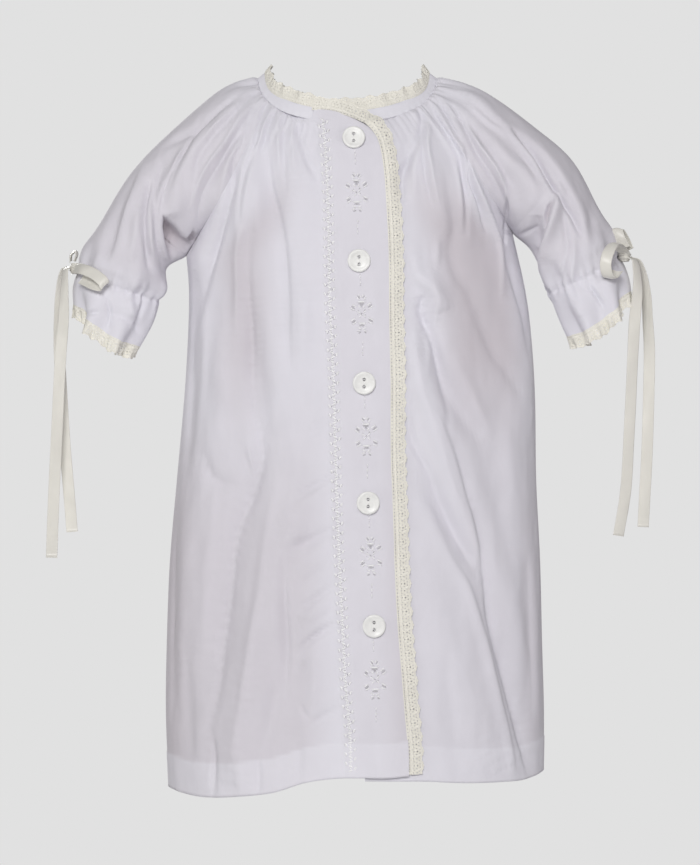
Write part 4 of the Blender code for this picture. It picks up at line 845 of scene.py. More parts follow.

# Folds picked in the photo: pixels from top to bottom, half width on the line's
# left and right in millimetres, and height, which FOLD_HEIGHT makes bolder
FOLD_HEIGHT = 1.35
FOLD_PICKS = [
    # raglan side, photo left
    ([(252, 104), (246, 125), (242, 142), (234, 157), (232, 180), (226, 205), (218, 230), (210, 255),
      (203, 282)], 2.0, 3.2, -1.9),
    ([(222, 218), (213, 243), (204, 270), (199, 305)], 5.0, 3.4, -2.6),
    ([(263, 104), (258, 126), (253, 145), (245, 170), (241, 198), (240, 222)], 1.7, 2.2, -1.7),
    ([(274, 106), (267, 127), (258, 154)], 1.5, 2.2, -1.5),
    ([(266, 140), (271, 188), (280, 220), (286, 257), (288, 290), (289, 352)], 9.0, 1.8, -1.9),
    ([(297, 116), (302, 142), (308, 162), (320, 180)], 2.2, 2.2, -1.3),
    ([(284, 112), (284, 160), (286, 190)], 1.8, 1.8, -1.1),
    ([(248, 235), (247, 290), (248, 330), (249, 380)], 2.6, 2.8, -1.5),
    ([(242, 232), (237.5, 250), (237, 290), (236, 330)], 2.8, 1.5, 1.5),
    ([(264, 118), (258, 140), (250, 153)], 1.5, 1.5, 1.2),
    ([(277, 115), (278, 163)], 1.8, 1.8, 1.0),
    ([(256, 178), (257, 233)], 4.5, 4.5, 1.4),
    ([(291, 118), (293, 150), (296, 175)], 1.8, 1.8, 0.9),
    # sleeve, photo left
    ([(196, 118), (188, 135), (172, 167), (162, 193), (159, 212)], 1.5, 3.2, -2.2),
    ([(238, 90), (218, 106), (198, 122), (178, 132), (163, 142)], 1.7, 2.2, -1.7),
    ([(246, 96), (225, 118), (207, 138), (197, 155), (193, 178)], 1.5, 2.4, -1.8),
    ([(251, 106), (232, 137), (217, 163), (203, 190), (196, 216)], 1.6, 2.8, -1.8),
    ([(158, 150), (155, 177), (152, 198), (154, 228), (160, 262), (165, 292)], 1.8, 2.4, -1.7),
    ([(146, 180), (143.5, 200), (143, 220), (144, 240), (147, 264)], 2.0, 1.8, -3.0),
    ([(140, 163), (128, 200), (118, 230), (110, 258)], 1.8, 5.0, 1.7),
    ([(129, 172), (116, 205), (106, 235), (100, 256)], 3.5, 2.6, -1.4),
    ([(228, 112), (212, 128), (200, 146)], 1.6, 1.6, 1.1),
    ([(240, 112), (224, 140), (208, 162), (198, 180), (191, 205)], 1.6, 1.8, 1.5),
    ([(236, 142), (226, 165), (220, 190), (214, 212)], 3.0, 2.6, 1.4),
    ([(176, 150), (170, 172), (164, 190)], 2.0, 1.6, 1.2),
    ([(178, 180), (176, 200), (172, 216)], 5.0, 5.0, 1.8),
    ([(151, 205), (150, 235), (151, 262)], 1.6, 1.6, 1.2),
    ([(137, 205), (133, 235), (128, 262)], 3.0, 2.6, 1.5),
    ([(139, 284), (141, 303), (137, 320), (137, 336)], 1.8, 1.5, -1.8),
    ([(109, 312), (119, 316), (131, 322)], 2.6, 3.4, -1.6),
    ([(84, 313), (97, 311)], 1.5, 1.5, -1.4),
    ([(104, 296), (108, 312), (106, 330)], 1.6, 1.6, -1.2),
    ([(128, 300), (130, 318)], 2.4, 2.4, 1.3),
    # body middle, photo left
    ([(248, 322), (248, 360), (250, 400), (257, 430), (261, 450), (258, 474), (249, 500), (238, 522),
      (232, 545), (227, 600), (221, 645), (218, 685), (211, 725), (206, 765)], 3.6, 3.2, -1.6),
    ([(202, 450), (214, 480), (236, 488)], 3.6, 3.6, -1.3),
    ([(332, 476), (312, 488), (295, 498)], 1.8, 2.2, -1.8),
    ([(332, 529), (308, 541), (286, 549)], 2.6, 3.0, -2.0),
    ([(331, 585), (323, 592), (312, 600), (302, 606)], 1.5, 1.8, -1.8),
    ([(334, 622), (322, 630), (311, 638), (298, 650)], 1.5, 1.8, -2.2),
    ([(322, 423), (311, 433)], 1.6, 2.0, -1.0),
    ([(306, 662), (295, 669)], 1.5, 1.6, -1.0),
    ([(337, 707), (322, 715), (310, 724)], 2.0, 2.4, -1.3),
    ([(300, 704), (309, 718)], 1.6, 1.6, -0.8),
    ([(284, 552), (286, 600), (287, 640), (285, 690)], 3.0, 1.8, -1.6),
    ([(276, 488), (270, 510), (264, 550), (260, 590), (253, 640), (246, 690), (238, 735),
      (233, 765)], 3.2, 4.0, 1.3),
    ([(222, 310), (222, 360), (224, 405)], 7.0, 6.0, 1.4),
    ([(247, 446), (252, 470)], 1.6, 1.6, 1.2),
    ([(303, 300), (303, 375)], 5.0, 5.0, 1.2),
    ([(213, 495), (208, 560), (205, 600), (200, 645)], 5.0, 4.0, 1.3),
    ([(298, 577), (322, 560)], 2.6, 3.0, 1.2),
    ([(300, 622), (325, 606)], 3.0, 3.0, 1.0),
    ([(314, 650), (315, 690), (313, 706)], 4.0, 3.6, 1.2),
    ([(186, 640), (186, 700), (189, 755)], 3.0, 4.0, -1.3),
    ([(278, 684), (269, 720), (262, 755)], 4.0, 5.0, -1.5),
    ([(214, 742), (214, 792)], 1.8, 2.2, -1.8),
    ([(243, 752), (243, 794)], 4.5, 5.0, 1.6),
    ([(258, 756), (259, 790)], 1.5, 2.4, -1.2),
    ([(300, 740), (300, 782)], 3.0, 3.0, -0.9),
    ([(192, 265), (190, 330), (187, 400), (184, 470)], 2.4, 4.0, -1.8),
    ([(204, 300), (204, 352), (200, 410)], 3.0, 3.0, 1.1),
    ([(172, 520), (171, 620), (170, 720)], 2.0, 4.0, -1.4),
    # right chest and raglan side
    ([(422, 104), (420, 133), (410, 157), (403, 173), (403, 197)], 1.8, 2.2, -1.9),
    ([(424, 112), (423, 140), (426, 177), (432, 203)], 1.6, 1.6, -1.4),
    ([(433, 104), (437, 112), (450, 135), (462, 157), (465, 173), (468, 193),
      (467, 232)], 2.2, 1.6, -2.0),
    ([(467, 150), (473, 180), (482, 203), (488, 228)], 1.2, 1.2, -2.6),
    ([(444, 165), (452, 207), (455, 223), (452, 250), (458, 273), (470, 290),
      (478, 318)], 4.0, 5.0, -1.6),
    ([(440, 98), (453, 123), (460, 139)], 1.4, 1.4, -1.5),
    ([(456, 106), (465, 122), (478, 150), (492, 172), (502, 190), (508, 203)], 2.2, 1.5, -2.1),
    ([(458, 91), (485, 113), (505, 130), (518, 145), (530, 160), (546, 180)], 5.0, 3.2, -2.3),
    ([(516, 128), (526, 139), (537, 152), (548, 172), (557, 188), (566, 202), (575, 215),
      (582, 232)], 1.8, 1.8, -3.8),
    ([(508.5, 196), (508.5, 218), (508, 240)], 1.1, 1.1, -3.0),
    ([(509, 227), (522, 232), (534, 229)], 1.5, 1.5, -2.0),
    ([(426, 292), (421, 312), (431, 330)], 2.4, 2.4, -1.5),
    ([(509, 255), (518, 285), (526, 315), (530, 350)], 2.4, 4.0, -1.8),
    ([(431, 118), (428, 143), (432, 173), (437, 200)], 1.8, 1.8, 1.4),
    ([(415, 140), (414, 170), (416, 195)], 2.4, 2.6, 1.2),
    ([(436, 106), (452, 132), (467, 157), (475, 177), (485, 200), (495, 223), (502, 248),
      (503, 292)], 1.5, 2.2, 2.0),
    ([(468, 124), (483, 147), (498, 168), (507, 187), (509, 202)], 1.6, 1.8, 1.9),
    ([(457, 158), (461, 183), (463, 228)], 1.8, 1.6, 1.2),
    ([(488, 136), (507, 157), (527, 173), (536, 190), (529, 214)], 6.5, 5.0, 2.2),
    ([(413, 256), (418, 277), (434, 292), (440, 303)], 3.0, 3.8, 1.3),
    ([(438, 238), (437, 265)], 2.2, 2.2, 1.1),
    ([(559, 188), (553, 215), (548, 240), (546, 262), (549, 285), (556, 302)], 1.2, 4.0, 3.0),
    ([(533, 134), (550, 155), (562, 172), (573, 192), (583, 212), (590, 238)], 2.0, 4.0, 1.7),
    ([(564, 212), (568, 240), (566, 262), (559, 292)], 1.7, 2.0, -1.5),
    ([(576, 236), (576, 262), (572, 290)], 2.0, 2.0, 1.2),
    ([(590, 283), (598, 293), (607, 306)], 1.4, 1.4, -1.8),
    ([(577, 300), (585, 316)], 3.0, 3.0, 1.2),
    ([(470, 100), (490, 118), (506, 130)], 1.6, 1.6, 1.2),
    ([(447, 100), (458, 114)], 1.4, 1.4, 1.1),
    ([(520, 150), (530, 163), (538, 178)], 1.6, 2.2, -1.0),
    # body middle, right
    ([(424, 300), (426, 324), (436, 350), (442, 380), (446, 402), (447, 428)], 2.0, 3.4, -1.6),
    ([(442, 420), (456, 456), (466, 490), (476, 520), (484, 556), (489, 582)], 1.2, 5.5, -1.9),
    ([(410, 392), (412, 440), (426, 466), (442, 500), (456, 530), (471, 560)], 2.4, 2.8, -1.7),
    ([(478, 308), (494, 350), (510, 374), (523, 394)], 4.0, 5.0, -1.5),
    ([(482, 558), (489, 590), (491, 612), (496, 638), (503, 664), (511, 692), (518, 722), (525, 752),
      (530, 778)], 1.9, 4.5, -2.4),
    ([(415, 330), (420, 390), (430, 420), (450, 480), (470, 530), (481, 558)], 4.0, 3.6, 1.3),
    ([(412, 458), (424, 490), (442, 540), (451, 560)], 5.0, 3.6, 1.2),
    ([(450, 556), (470, 590), (480, 620), (487, 642), (493, 670), (501, 702), (509, 740),
      (513, 768)], 4.0, 1.6, 1.6),
    ([(458, 362), (474, 400), (494, 440)], 4.0, 4.0, 1.2),
    ([(436, 302), (436, 322)], 1.8, 1.8, 1.0),
    ([(440, 645), (450, 700), (456, 745)], 5.0, 5.0, -0.9),
    ([(427, 330), (430, 350), (428, 372)], 2.2, 2.6, 1.1),
    ([(505, 420), (512, 480), (514, 540)], 5.0, 5.0, 1.1),
    ([(530, 560), (534, 640), (536, 720)], 4.0, 2.0, -1.4),
]

# Hollows under folds: outline in pixels, depth and width of the slope in millimetres
HOLLOW_PICKS = [
    ([(160, 211), (171, 221), (185, 236), (191, 226), (198, 236), (188, 249), (181, 262), (167, 280),
      (166, 258), (164, 236)], 9.0, 3.0),
    ([(557, 192), (548, 204), (545, 214), (545, 228), (549, 228), (554, 208)], 4.0, 2.0),
    ([(523, 237), (535, 242), (546, 252), (547, 274), (536, 258)], 7.0, 3.0),
]

# Folds of the hidden sides: x, z from top to bottom, half widths, height
BACK_FOLDS = [
    (((-58.0, -34.0), (-70.0, -70.0), (-80.0, -108.0)), 2.2, 3.0, -2.0),
    (((-50.0, -30.0), (-58.0, -60.0), (-64.0, -96.0)), 2.0, 2.4, 1.5),
    (((-38.0, -26.0), (-43.0, -56.0), (-46.0, -90.0), (-52.0, -140.0)), 2.4, 3.6, -1.9),
    (((-27.0, -24.0), (-31.0, -60.0), (-32.0, -104.0)), 2.4, 2.6, 1.5),
    (((-17.0, -23.0), (-18.0, -52.0), (-22.0, -96.0), (-20.0, -150.0)), 2.2, 3.2, -1.7),
    (((-6.0, -22.0), (-6.0, -70.0), (-9.0, -120.0)), 2.6, 2.6, 1.3),
    (((5.0, -22.0), (6.0, -50.0), (4.0, -88.0)), 2.0, 2.4, -1.6),
    (((15.0, -23.0), (18.0, -64.0), (17.0, -118.0), (22.0, -172.0)), 3.0, 2.6, -1.5),
    (((26.0, -24.0), (31.0, -60.0), (34.0, -100.0)), 2.2, 2.4, 1.6),
    (((36.0, -26.0), (43.0, -58.0), (47.0, -92.0)), 2.0, 2.6, -2.0),
    (((49.0, -30.0), (58.0, -64.0), (66.0, -104.0)), 2.2, 2.2, 1.5),
    (((58.0, -34.0), (69.0, -66.0), (78.0, -100.0)), 2.2, 3.0, -2.0),
    (((-66.0, -130.0), (-72.0, -190.0), (-70.0, -250.0)), 4.5, 5.0, -1.8),
    (((-40.0, -170.0), (-46.0, -240.0), (-44.0, -300.0), (-52.0, -380.0)), 4.0, 5.0, 1.8),
    (((-24.0, -190.0), (-28.0, -260.0), (-36.0, -340.0)), 4.0, 3.4, -1.7),
    (((10.0, -200.0), (6.0, -280.0), (12.0, -370.0)), 4.0, 4.4, 1.6),
    (((40.0, -150.0), (46.0, -220.0), (44.0, -290.0)), 4.0, 5.0, -1.8),
    (((70.0, -140.0), (78.0, -210.0), (80.0, -280.0)), 4.4, 4.0, 1.6),
    (((62.0, -270.0), (68.0, -340.0), (80.0, -412.0)), 4.0, 4.6, -2.0),
    (((28.0, -300.0), (34.0, -360.0), (36.0, -424.0)), 4.0, 4.0, 1.5),
    (((-78.0, -290.0), (-84.0, -350.0), (-88.0, -420.0)), 4.0, 4.0, 1.6),
    (((-12.0, -330.0), (-8.0, -380.0), (-12.0, -426.0)), 3.6, 4.4, -1.5),
]
SLEEVE_BACK_FOLDS = [
    (((-66.0, -22.0), (-92.0, -40.0), (-114.0, -66.0), (-130.0, -98.0)), 3.0, 3.4, 1.9),
    (((-62.0, -28.0), (-84.0, -50.0), (-102.0, -78.0), (-116.0, -106.0)), 2.6, 3.4, -2.0),
    (((-58.0, -34.0), (-76.0, -60.0), (-92.0, -90.0)), 2.4, 2.8, 1.6),
    (((-104.0, -44.0), (-124.0, -72.0), (-138.0, -100.0)), 2.6, 3.0, -1.9),
    (((-112.0, -100.0), (-120.0, -120.0), (-128.0, -136.0)), 2.4, 3.0, -1.8),
    (((-140.0, -92.0), (-148.0, -112.0), (-154.0, -126.0)), 2.4, 2.4, 1.4),
    (((66.0, -22.0), (92.0, -38.0), (112.0, -62.0), (127.0, -92.0)), 3.4, 3.0, 1.9),
    (((62.0, -28.0), (84.0, -48.0), (100.0, -74.0), (112.0, -100.0)), 3.4, 2.6, -2.0),
    (((58.0, -34.0), (76.0, -58.0), (92.0, -86.0)), 2.8, 2.4, 1.6),
    (((102.0, -40.0), (122.0, -66.0), (136.0, -94.0)), 3.0, 2.6, -1.9),
    (((112.0, -96.0), (122.0, -114.0), (130.0, -130.0)), 3.0, 2.4, -1.8),
]


# Materials
def node_material(name):
    item = bpy.data.materials.new(name)
    item.use_nodes = True
    tree = item.node_tree
    shader = tree.nodes["Principled BSDF"]
    return item, tree.nodes, tree.links, shader


def math_node(nodes, links, kind, first, second=None):
    item = nodes.new("ShaderNodeMath")
    item.operation = kind
    for index, value in enumerate((first, second)):
        if value is None:
            continue
        if isinstance(value, (int, float)):
            item.inputs[index].default_value = value
        else:
            links.new(value, item.inputs[index])
    return item.outputs[0]


def weave_height(nodes, links, pitch):
    """Height of a plain weave from the piece's own flat millimetres."""
    uv = nodes.new("ShaderNodeUVMap")
    uv.uv_map = "flat"
    parts = nodes.new("ShaderNodeSeparateXYZ")
    links.new(uv.outputs["UV"], parts.inputs[0])
    waves = []
    for axis in ("X", "Y"):
        turned = math_node(nodes, links, "MULTIPLY", parts.outputs[axis], 2 * math.pi / pitch)
        waves.append(math_node(nodes, links, "SINE", turned))
    return math_node(nodes, links, "MULTIPLY", waves[0], waves[1])


def cloud_tone(nodes, links, scale, dark, colour):
    """Noise over the piece, and an uneven tone from it between two colours."""
    place = nodes.new("ShaderNodeTexCoord")
    cloud = nodes.new("ShaderNodeTexNoise")
    cloud.inputs["Scale"].default_value = scale
    links.new(place.outputs["Object"], cloud.inputs["Vector"])
    tone = nodes.new("ShaderNodeValToRGB")
    for element, position, shade in zip(tone.color_ramp.elements, (0.3, 0.7), (dark, colour)):
        element.position = position
        element.color = (*shade, 1.0)
    links.new(cloud.outputs["Fac"], tone.inputs["Fac"])
    return cloud, tone.outputs["Color"]


def add_bump(nodes, links, shader, height, strength, distance):
    bump = nodes.new("ShaderNodeBump")
    bump.inputs["Strength"].default_value = strength
    bump.inputs["Distance"].default_value = distance
    links.new(height, bump.inputs["Height"])
    links.new(bump.outputs["Normal"], shader.inputs["Normal"])


def set_inputs(node, values):
    for name, value in values.items():
        node.inputs[name].default_value = value


def darker(colour, share):
    return [value * share for value in colour]


def batiste_material(name, colour):
    """Fine plain weave with slubs, darkened by each point's tint: one layer against two, and painted shade.
    """
    item, nodes, links, shader = node_material(name)
    slubs, tone = cloud_tone(nodes, links, 60.0, darker(colour, 0.975), colour)
    slubs.inputs["Detail"].default_value = 4.0
    added = math_node(nodes, links, "MULTIPLY", slubs.outputs["Fac"], 0.9)
    total = math_node(nodes, links, "ADD", weave_height(nodes, links, WEAVE_PITCH), added)
    add_bump(nodes, links, shader, total, 0.12, 0.0002)
    layer = nodes.new("ShaderNodeAttribute")
    layer.attribute_name = "tone_and_painted_shade"
    mix = nodes.new("ShaderNodeMix")
    mix.data_type = "RGBA"
    mix.blend_type = "MULTIPLY"
    mix.inputs["Factor"].default_value = 1.0
    links.new(tone, mix.inputs["A"])
    links.new(layer.outputs["Color"], mix.inputs["B"])
    links.new(mix.outputs["Result"], shader.inputs["Base Color"])
    looks = {"Roughness": 0.9, "Specular IOR Level": 0.15, "Sheen Weight": 0.12, "Sheen Roughness": 0.5}
    set_inputs(shader, looks)
    return item


def thread_material(name, colour, roughness):
    item, nodes, links, shader = node_material(name)
    fibres, tone = cloud_tone(nodes, links, 900.0, darker(colour, 0.9), colour)
    add_bump(nodes, links, shader, fibres.outputs["Fac"], 0.35, 0.0002)
    links.new(tone, shader.inputs["Base Color"])
    set_inputs(shader, {"Roughness": roughness, "Specular IOR Level": 0.3})
    return item


def satin_material(name, colour):
    """Fine lines along the ribbon, soft to the light."""
    item, nodes, links, shader = node_material(name)
    uv = nodes.new("ShaderNodeUVMap")
    uv.uv_map = "flat"
    parts = nodes.new("ShaderNodeSeparateXYZ")
    links.new(uv.outputs["UV"], parts.inputs[0])
    lines = math_node(nodes, links, "MULTIPLY", parts.outputs["X"], 2 * math.pi / SATIN_PITCH)
    add_bump(nodes, links, shader, math_node(nodes, links, "SINE", lines), 0.07, 0.0001)
    tone = cloud_tone(nodes, links, 40.0, darker(colour, 0.93), colour)[1]
    links.new(tone, shader.inputs["Base Color"])
    looks = {"Roughness": 0.36, "Specular IOR Level": 0.45, "Sheen Weight": 0.15, "Anisotropic": 0.5}
    set_inputs(shader, looks)
    return item


def pearl_material(name, colour):
    item, nodes, links, shader = node_material(name)
    clouds, tone = cloud_tone(nodes, links, 220.0, darker(colour, 0.9), colour)
    set_inputs(clouds, {"Detail": 3.0, "Distortion": 1.2})
    links.new(tone, shader.inputs["Base Color"])
    set_inputs(shader, {"Roughness": 0.4, "Coat Weight": 0.12, "Coat Roughness": 0.15})
    return item


BATISTE = batiste_material("batiste", CLOTH_COLOUR)
LACE_COTTON = thread_material("cotton_lace", LACE_COLOUR, 0.85)
WHITE_THREAD = thread_material("white_thread", THREAD_COLOUR, 0.6)
SATIN = satin_material("satin_ribbon", RIBBON_COLOUR)
PEARL = pearl_material("pearl", PEARL_COLOUR)
SHADOW_THREAD = thread_material("hole_shade", HOLE_SHADE_COLOUR, 0.9)
SEAM_SHADE = thread_material("seam_shade", SEAM_HOLE_SHADE_COLOUR, 0.9)


# Pieces
def finish_piece(name, points, faces, material, nodes=(), flat=None, tone_and_painted_shade=None):
    """A smooth mesh piece in metres that rides on the body."""
    mesh = bpy.data.meshes.new(name)
    mesh.from_pydata((np.asarray(points) * MM).tolist(), [], faces)
    mesh.update()
    if flat is not None:
        layer = mesh.uv_layers.new(name="flat")
        loops = np.empty(len(mesh.loops), dtype=int)
        mesh.loops.foreach_get("vertex_index", loops)
        layer.data.foreach_set("uv", np.asarray(flat)[loops].ravel())
    if tone_and_painted_shade is not None:
        shade = mesh.color_attributes.new(name="tone_and_painted_shade", type="FLOAT_COLOR", domain="POINT")
        values = np.ones((len(mesh.vertices), 4))
        values[:, :3] = np.asarray(tone_and_painted_shade)
        shade.data.foreach_set("color", values.ravel())
    mesh.polygons.foreach_set("use_smooth", [True] * len(mesh.polygons))
    mesh.materials.append(material)
    item = bpy.data.objects.new(name, mesh)
    bpy.context.scene.collection.objects.link(item)
    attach(item, "root")
    if nodes:
        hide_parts(*nodes)
    return item


def distances(line):
    """Distances along a line to each of its points."""
    return np.concatenate([[0.0], np.cumsum(np.linalg.norm(np.diff(line, axis=0), axis=1))])


def circle_steps(count):
    """Cosine and sine at equal steps round a circle."""
    angles = [2 * math.pi * k / count for k in range(count)]
    return [(math.cos(angle), math.sin(angle)) for angle in angles]


def grid_faces(rows, columns, start=0, closed=False):
    i, j = np.meshgrid(np.arange(rows - 1), np.arange(columns if closed else columns - 1), indexing="ij")
    a = (i * columns + j).ravel() + start
    b = (i * columns + (j + 1) % columns).ravel() + start
    return np.stack([a, a + columns, b + columns, b], axis=1).tolist()


def grid_flat(points):
    """Distances along a grid, in millimetres, for the weave."""
    across = np.cumsum(np.linalg.norm(np.diff(points, axis=1, prepend=points[:, :1]), axis=-1), axis=1)
    down = np.cumsum(np.linalg.norm(np.diff(points, axis=0, prepend=points[:1]), axis=-1), axis=0)
    return np.stack([across, down], axis=-1).reshape(-1, 2)


def cloth_piece(name, grid, tone_and_painted_shade):
    """A panel of batiste over the solid of that name."""
    points = grid.reshape(-1, 3)
    faces = grid_faces(*grid.shape[:2])
    return finish_piece(name + "_cloth", points, faces, BATISTE, [name], grid_flat(grid), tone_and_painted_shade)


def fold_field(points, table):
    """Height of folds at points in the front view. Each has a line from its top to
    its bottom, a half width on either side of it, and a height."""
    flat = points.reshape(-1, 3)
    height = np.zeros(len(flat))
    for line, left, right, rise in table:
        line = np.array(line)
        marks = distances(line)
        curve = smooth_rows(marks, line, np.linspace(0, marks[-1], 41))
        wide = max(left, right)
        close = (flat[:, 0] > curve[:, 0].min() - 2.6 * wide) & (flat[:, 0] < curve[:, 0].max() + 2.6 * wide)
        close &= (flat[:, 2] > curve[:, 1].min() - 2.6 * wide) & (flat[:, 2] < curve[:, 1].max() + 2.6 * wide)
        some = flat[close]
        if not len(some):
            continue
        gap_x = some[:, 0, None] - curve[:, 0]
        gap_z = some[:, 2, None] - curve[:, 1]
        near = np.argmin(gap_x**2 + gap_z**2, axis=1)
        which = np.arange(len(some))
        way = unit(np.gradient(curve, axis=0))[near]
        dx = gap_x[which, near]
        dz = gap_z[which, near]
        beyond = dx * way[:, 0] + dz * way[:, 1]
        aside = way[:, 0] * dz - way[:, 1] * dx
        width = np.where(aside > 0, right, left)
        fade = np.sin(np.pi * (0.04 + 0.92 * near / 40)) ** 0.6
        height[close] += rise * fade * np.exp(-((aside / width) ** 2) - (beyond / (1.2 * wide)) ** 2)
    return height.reshape(points.shape[:-1])


def photo_spot(px, py, depth):
    """x and z in millimetres of a pixel of the photo, for a place at y = depth."""
    scale = 1 + depth / (1000 * CAMERA_DISTANCE)
    x = ((px - ORIGIN_PIXEL[0]) * PIXEL - AIM[0]) * scale + AIM[0]
    return x, ((ORIGIN_PIXEL[1] - py) * PIXEL - AIM[1]) * scale + AIM[1]


def photo_line(picks):
    """Pixels on the cloth as places in the front view, to a tenth of a millimetre."""
    places = [photo_spot(px, py, FOLD_DEPTH) for px, py in picks]
    return [(round(x, 1), round(z, 1)) for x, z in places]


FRONT_FOLDS = []
for picks, left, right, rise in FOLD_PICKS:
    FRONT_FOLDS.append((photo_line(picks), left, right, round(rise * FOLD_HEIGHT, 1)))
HOLLOWS = [(photo_line(picks), deep, slope) for picks, deep, slope in HOLLOW_PICKS]


def hollow_field(points, table):
    """Depth of hollows at points in the front view."""
    flat = points.reshape(-1, 3)
    depth = np.zeros(len(flat))
    for outline, deep, slope in table:
        ring = np.array(outline)
        close = (flat[:, 0] > ring[:, 0].min()) & (flat[:, 0] < ring[:, 0].max())
        close &= (flat[:, 2] > ring[:, 1].min()) & (flat[:, 2] < ring[:, 1].max())
        x, z = flat[close, 0], flat[close, 2]
        inside = np.zeros(len(x), bool)
        away = np.full(len(x), 1e9)
        for (ax, az), (bx, bz) in zip(ring, np.roll(ring, -1, axis=0)):
            crossed = (az > z) != (bz > z)
            if bz != az:
                inside ^= crossed & (x < (bx - ax) * (z - az) / (bz - az) + ax)
            whole = (bx - ax) ** 2 + (bz - az) ** 2
            f = np.clip(((x - ax) * (bx - ax) + (z - az) * (bz - az)) / whole, 0, 1)
            away = np.minimum(away, np.hypot(x - ax - f * (bx - ax), z - az - f * (bz - az)))
        depth[close] += np.where(inside, deep * ramp(away, 0.0, slope), 0.0)
    return depth.reshape(points.shape[:-1])


def rise_way(normals, seam_share):
    """Where folds rise: with the cloth's normal, but straight forward at a raglan
    seam, so that the cloth on its two sides moves alike. The share is 0 on the seam."""
    near = 1 - ramp(seam_share, 0.0, SEAM_SHARE)
    ahead = np.stack([0 * near, np.where(normals[..., 1] > 0, 1.0, -1.0), 0 * near], axis=-1)
    return unit(normals * (1 - near)[..., None] + ahead * near[..., None])


def crumple(points):
    """Soft uneven waves in the cloth, longer down than across."""
    flat = points.reshape(-1, 3)
    height = np.zeros(len(flat))
    for index, (x, y, z) in enumerate(flat):
        wide = Vector((x / WIDE_WAVE[0] + 3.0, y / WIDE_WAVE[0], z / WIDE_WAVE[1]))
        fine = Vector((x / FINE_WAVE[0], y / FINE_WAVE[0] + 9.0, z / FINE_WAVE[1]))
        height[index] = noise.noise(wide)
        height[index] += FINE_SHARE * noise.noise(fine)
    return CRUMPLE_HEIGHT * height.reshape(points.shape[:-1])


# The cloth
def gathers_fine(angles, drop):
    """Small uneven gathers, close together, that die out a short way from the seam."""
    height = np.zeros(np.broadcast(angles, drop).shape)
    rng = np.random.default_rng(5)
    at = -180.0
    while at < 180.0:
        width = rng.uniform(0.8, 1.5)
        rise = rng.uniform(0.5, 1.35)
        length = rng.uniform(12.0, 52.0)
        turn = (angles - at + 180.0) % 360.0 - 180.0
        distance = np.abs(turn) * math.radians(1) * (NECK_RADIUS + 0.5 * drop)
        spread = width * (1 + drop / 28.0)
        fade = np.clip(1 - drop / length, 0, 1) * ramp(drop, -0.5, 2.0)
        height = height + rise * fade * np.exp(-((distance / spread) ** 2))
        at += rng.uniform(2.6, 5.2)
    return height


def strip_line(z):
    """x of the stitched strip's centre line at heights z."""
    return table_curve(STITCH_STRIP, z)


def front_form(u, keys, lap):
    """Outer points and normals of a front piece with all its folds."""
    u, keys, points, normals, drop = front_base(u, keys, lap)
    front = turned(-normals[..., 1])
    off_seam = np.where(keys < 3.0, ramp(1.0 - np.abs(u), 0.0, SEAM_SHARE), 1.0)
    height = off_seam * ramp(drop, 0.0, CREASE_START) * crease_field(points, FRONT_CREASES) + crumple(points)
    height = height + ramp(drop, 0.0, FOLD_START) * fold_field(points, FRONT_FOLDS)
    height = front * height + gather_field(RAGLAN_ANGLE * u, drop)
    if lap:
        calm = ramp(placket_distance(points[..., 0], points[..., 2]), 24.0, 44.0)
        height = height + calm * gathers_fine(RAGLAN_ANGLE * u, drop) + lap_lift(points)
    else:
        height = height + gathers_fine(RAGLAN_ANGLE * u, drop)
    height = height * np.where(keys < 3.0, 1.0, ramp(1.0 - np.abs(u), 0.0, SEAM_EDGE))
    way = rise_way(normals, np.where(keys < 3.0, 1.0 - np.abs(u), 1.0))
    return points + way * height[..., None], normals


def on_front(x, z):
    """Points on the right front over x and z in the front view, and the normals there."""
    u, place = front_share(x, z, True)
    return front_form(u, place, True)


def hemmed(grid, normals, line):
    """The grid with its hem turned up inside, and how double the cloth is."""
    above = grid[..., 2] - line
    double = 1 - ramp(above, HEM_DEPTH - HEM_STEP, HEM_DEPTH + HEM_STEP)
    grid = grid + normals * (HEM_EXTRA * double)[..., None]
    double = HEM_SHADE * double
    count = int(np.argmin(np.abs(above[:, above.shape[1] // 2] - HEM_DEPTH)))
    inside = (grid - normals * HEM_GAP)[count:][::-1]
    return np.concatenate([grid, inside]), np.concatenate([double, np.ones(inside.shape[:2])])


def cloth_tone_and_painted_shade(double, painted_shade):
    """The cloth's tint: one layer is a little darker than two, and painted shade darkens it further, most
    where that share is 1.
    """
    single = np.array(SINGLE_TINT) * (1 + (np.array(PAINTED_SHADE_TINT) - 1) * painted_shade[..., None])
    return (single + (1 - single) * double[..., None]).reshape(-1, 3)


def painted_side_shade(u, keys, double, most, fade, low):
    """How much painted shade darkens a body panel: more to its sides and low down."""
    painted_shade = np.zeros_like(double)
    away = np.abs(u)
    side = most * ramp(away, 0.25, 0.45) * (1 - 0.85 * ramp(away, fade, fade + 0.2))
    side = side * ramp(keys, 0.8, 2.8) * (1 - 0.8 * ramp(keys, 5.0, 7.0))
    low = low * ramp(away, 0.05, 0.2) + 0.4 * ramp(away, 0.6, 0.8)
    painted_shade[: len(u)] = np.maximum(side, low * ramp(keys, 5.5, 8.0))
    return painted_shade


cloth_keys = np.concatenate([np.linspace(0, 3, 90)[:-1], np.linspace(3, 11, 196)])

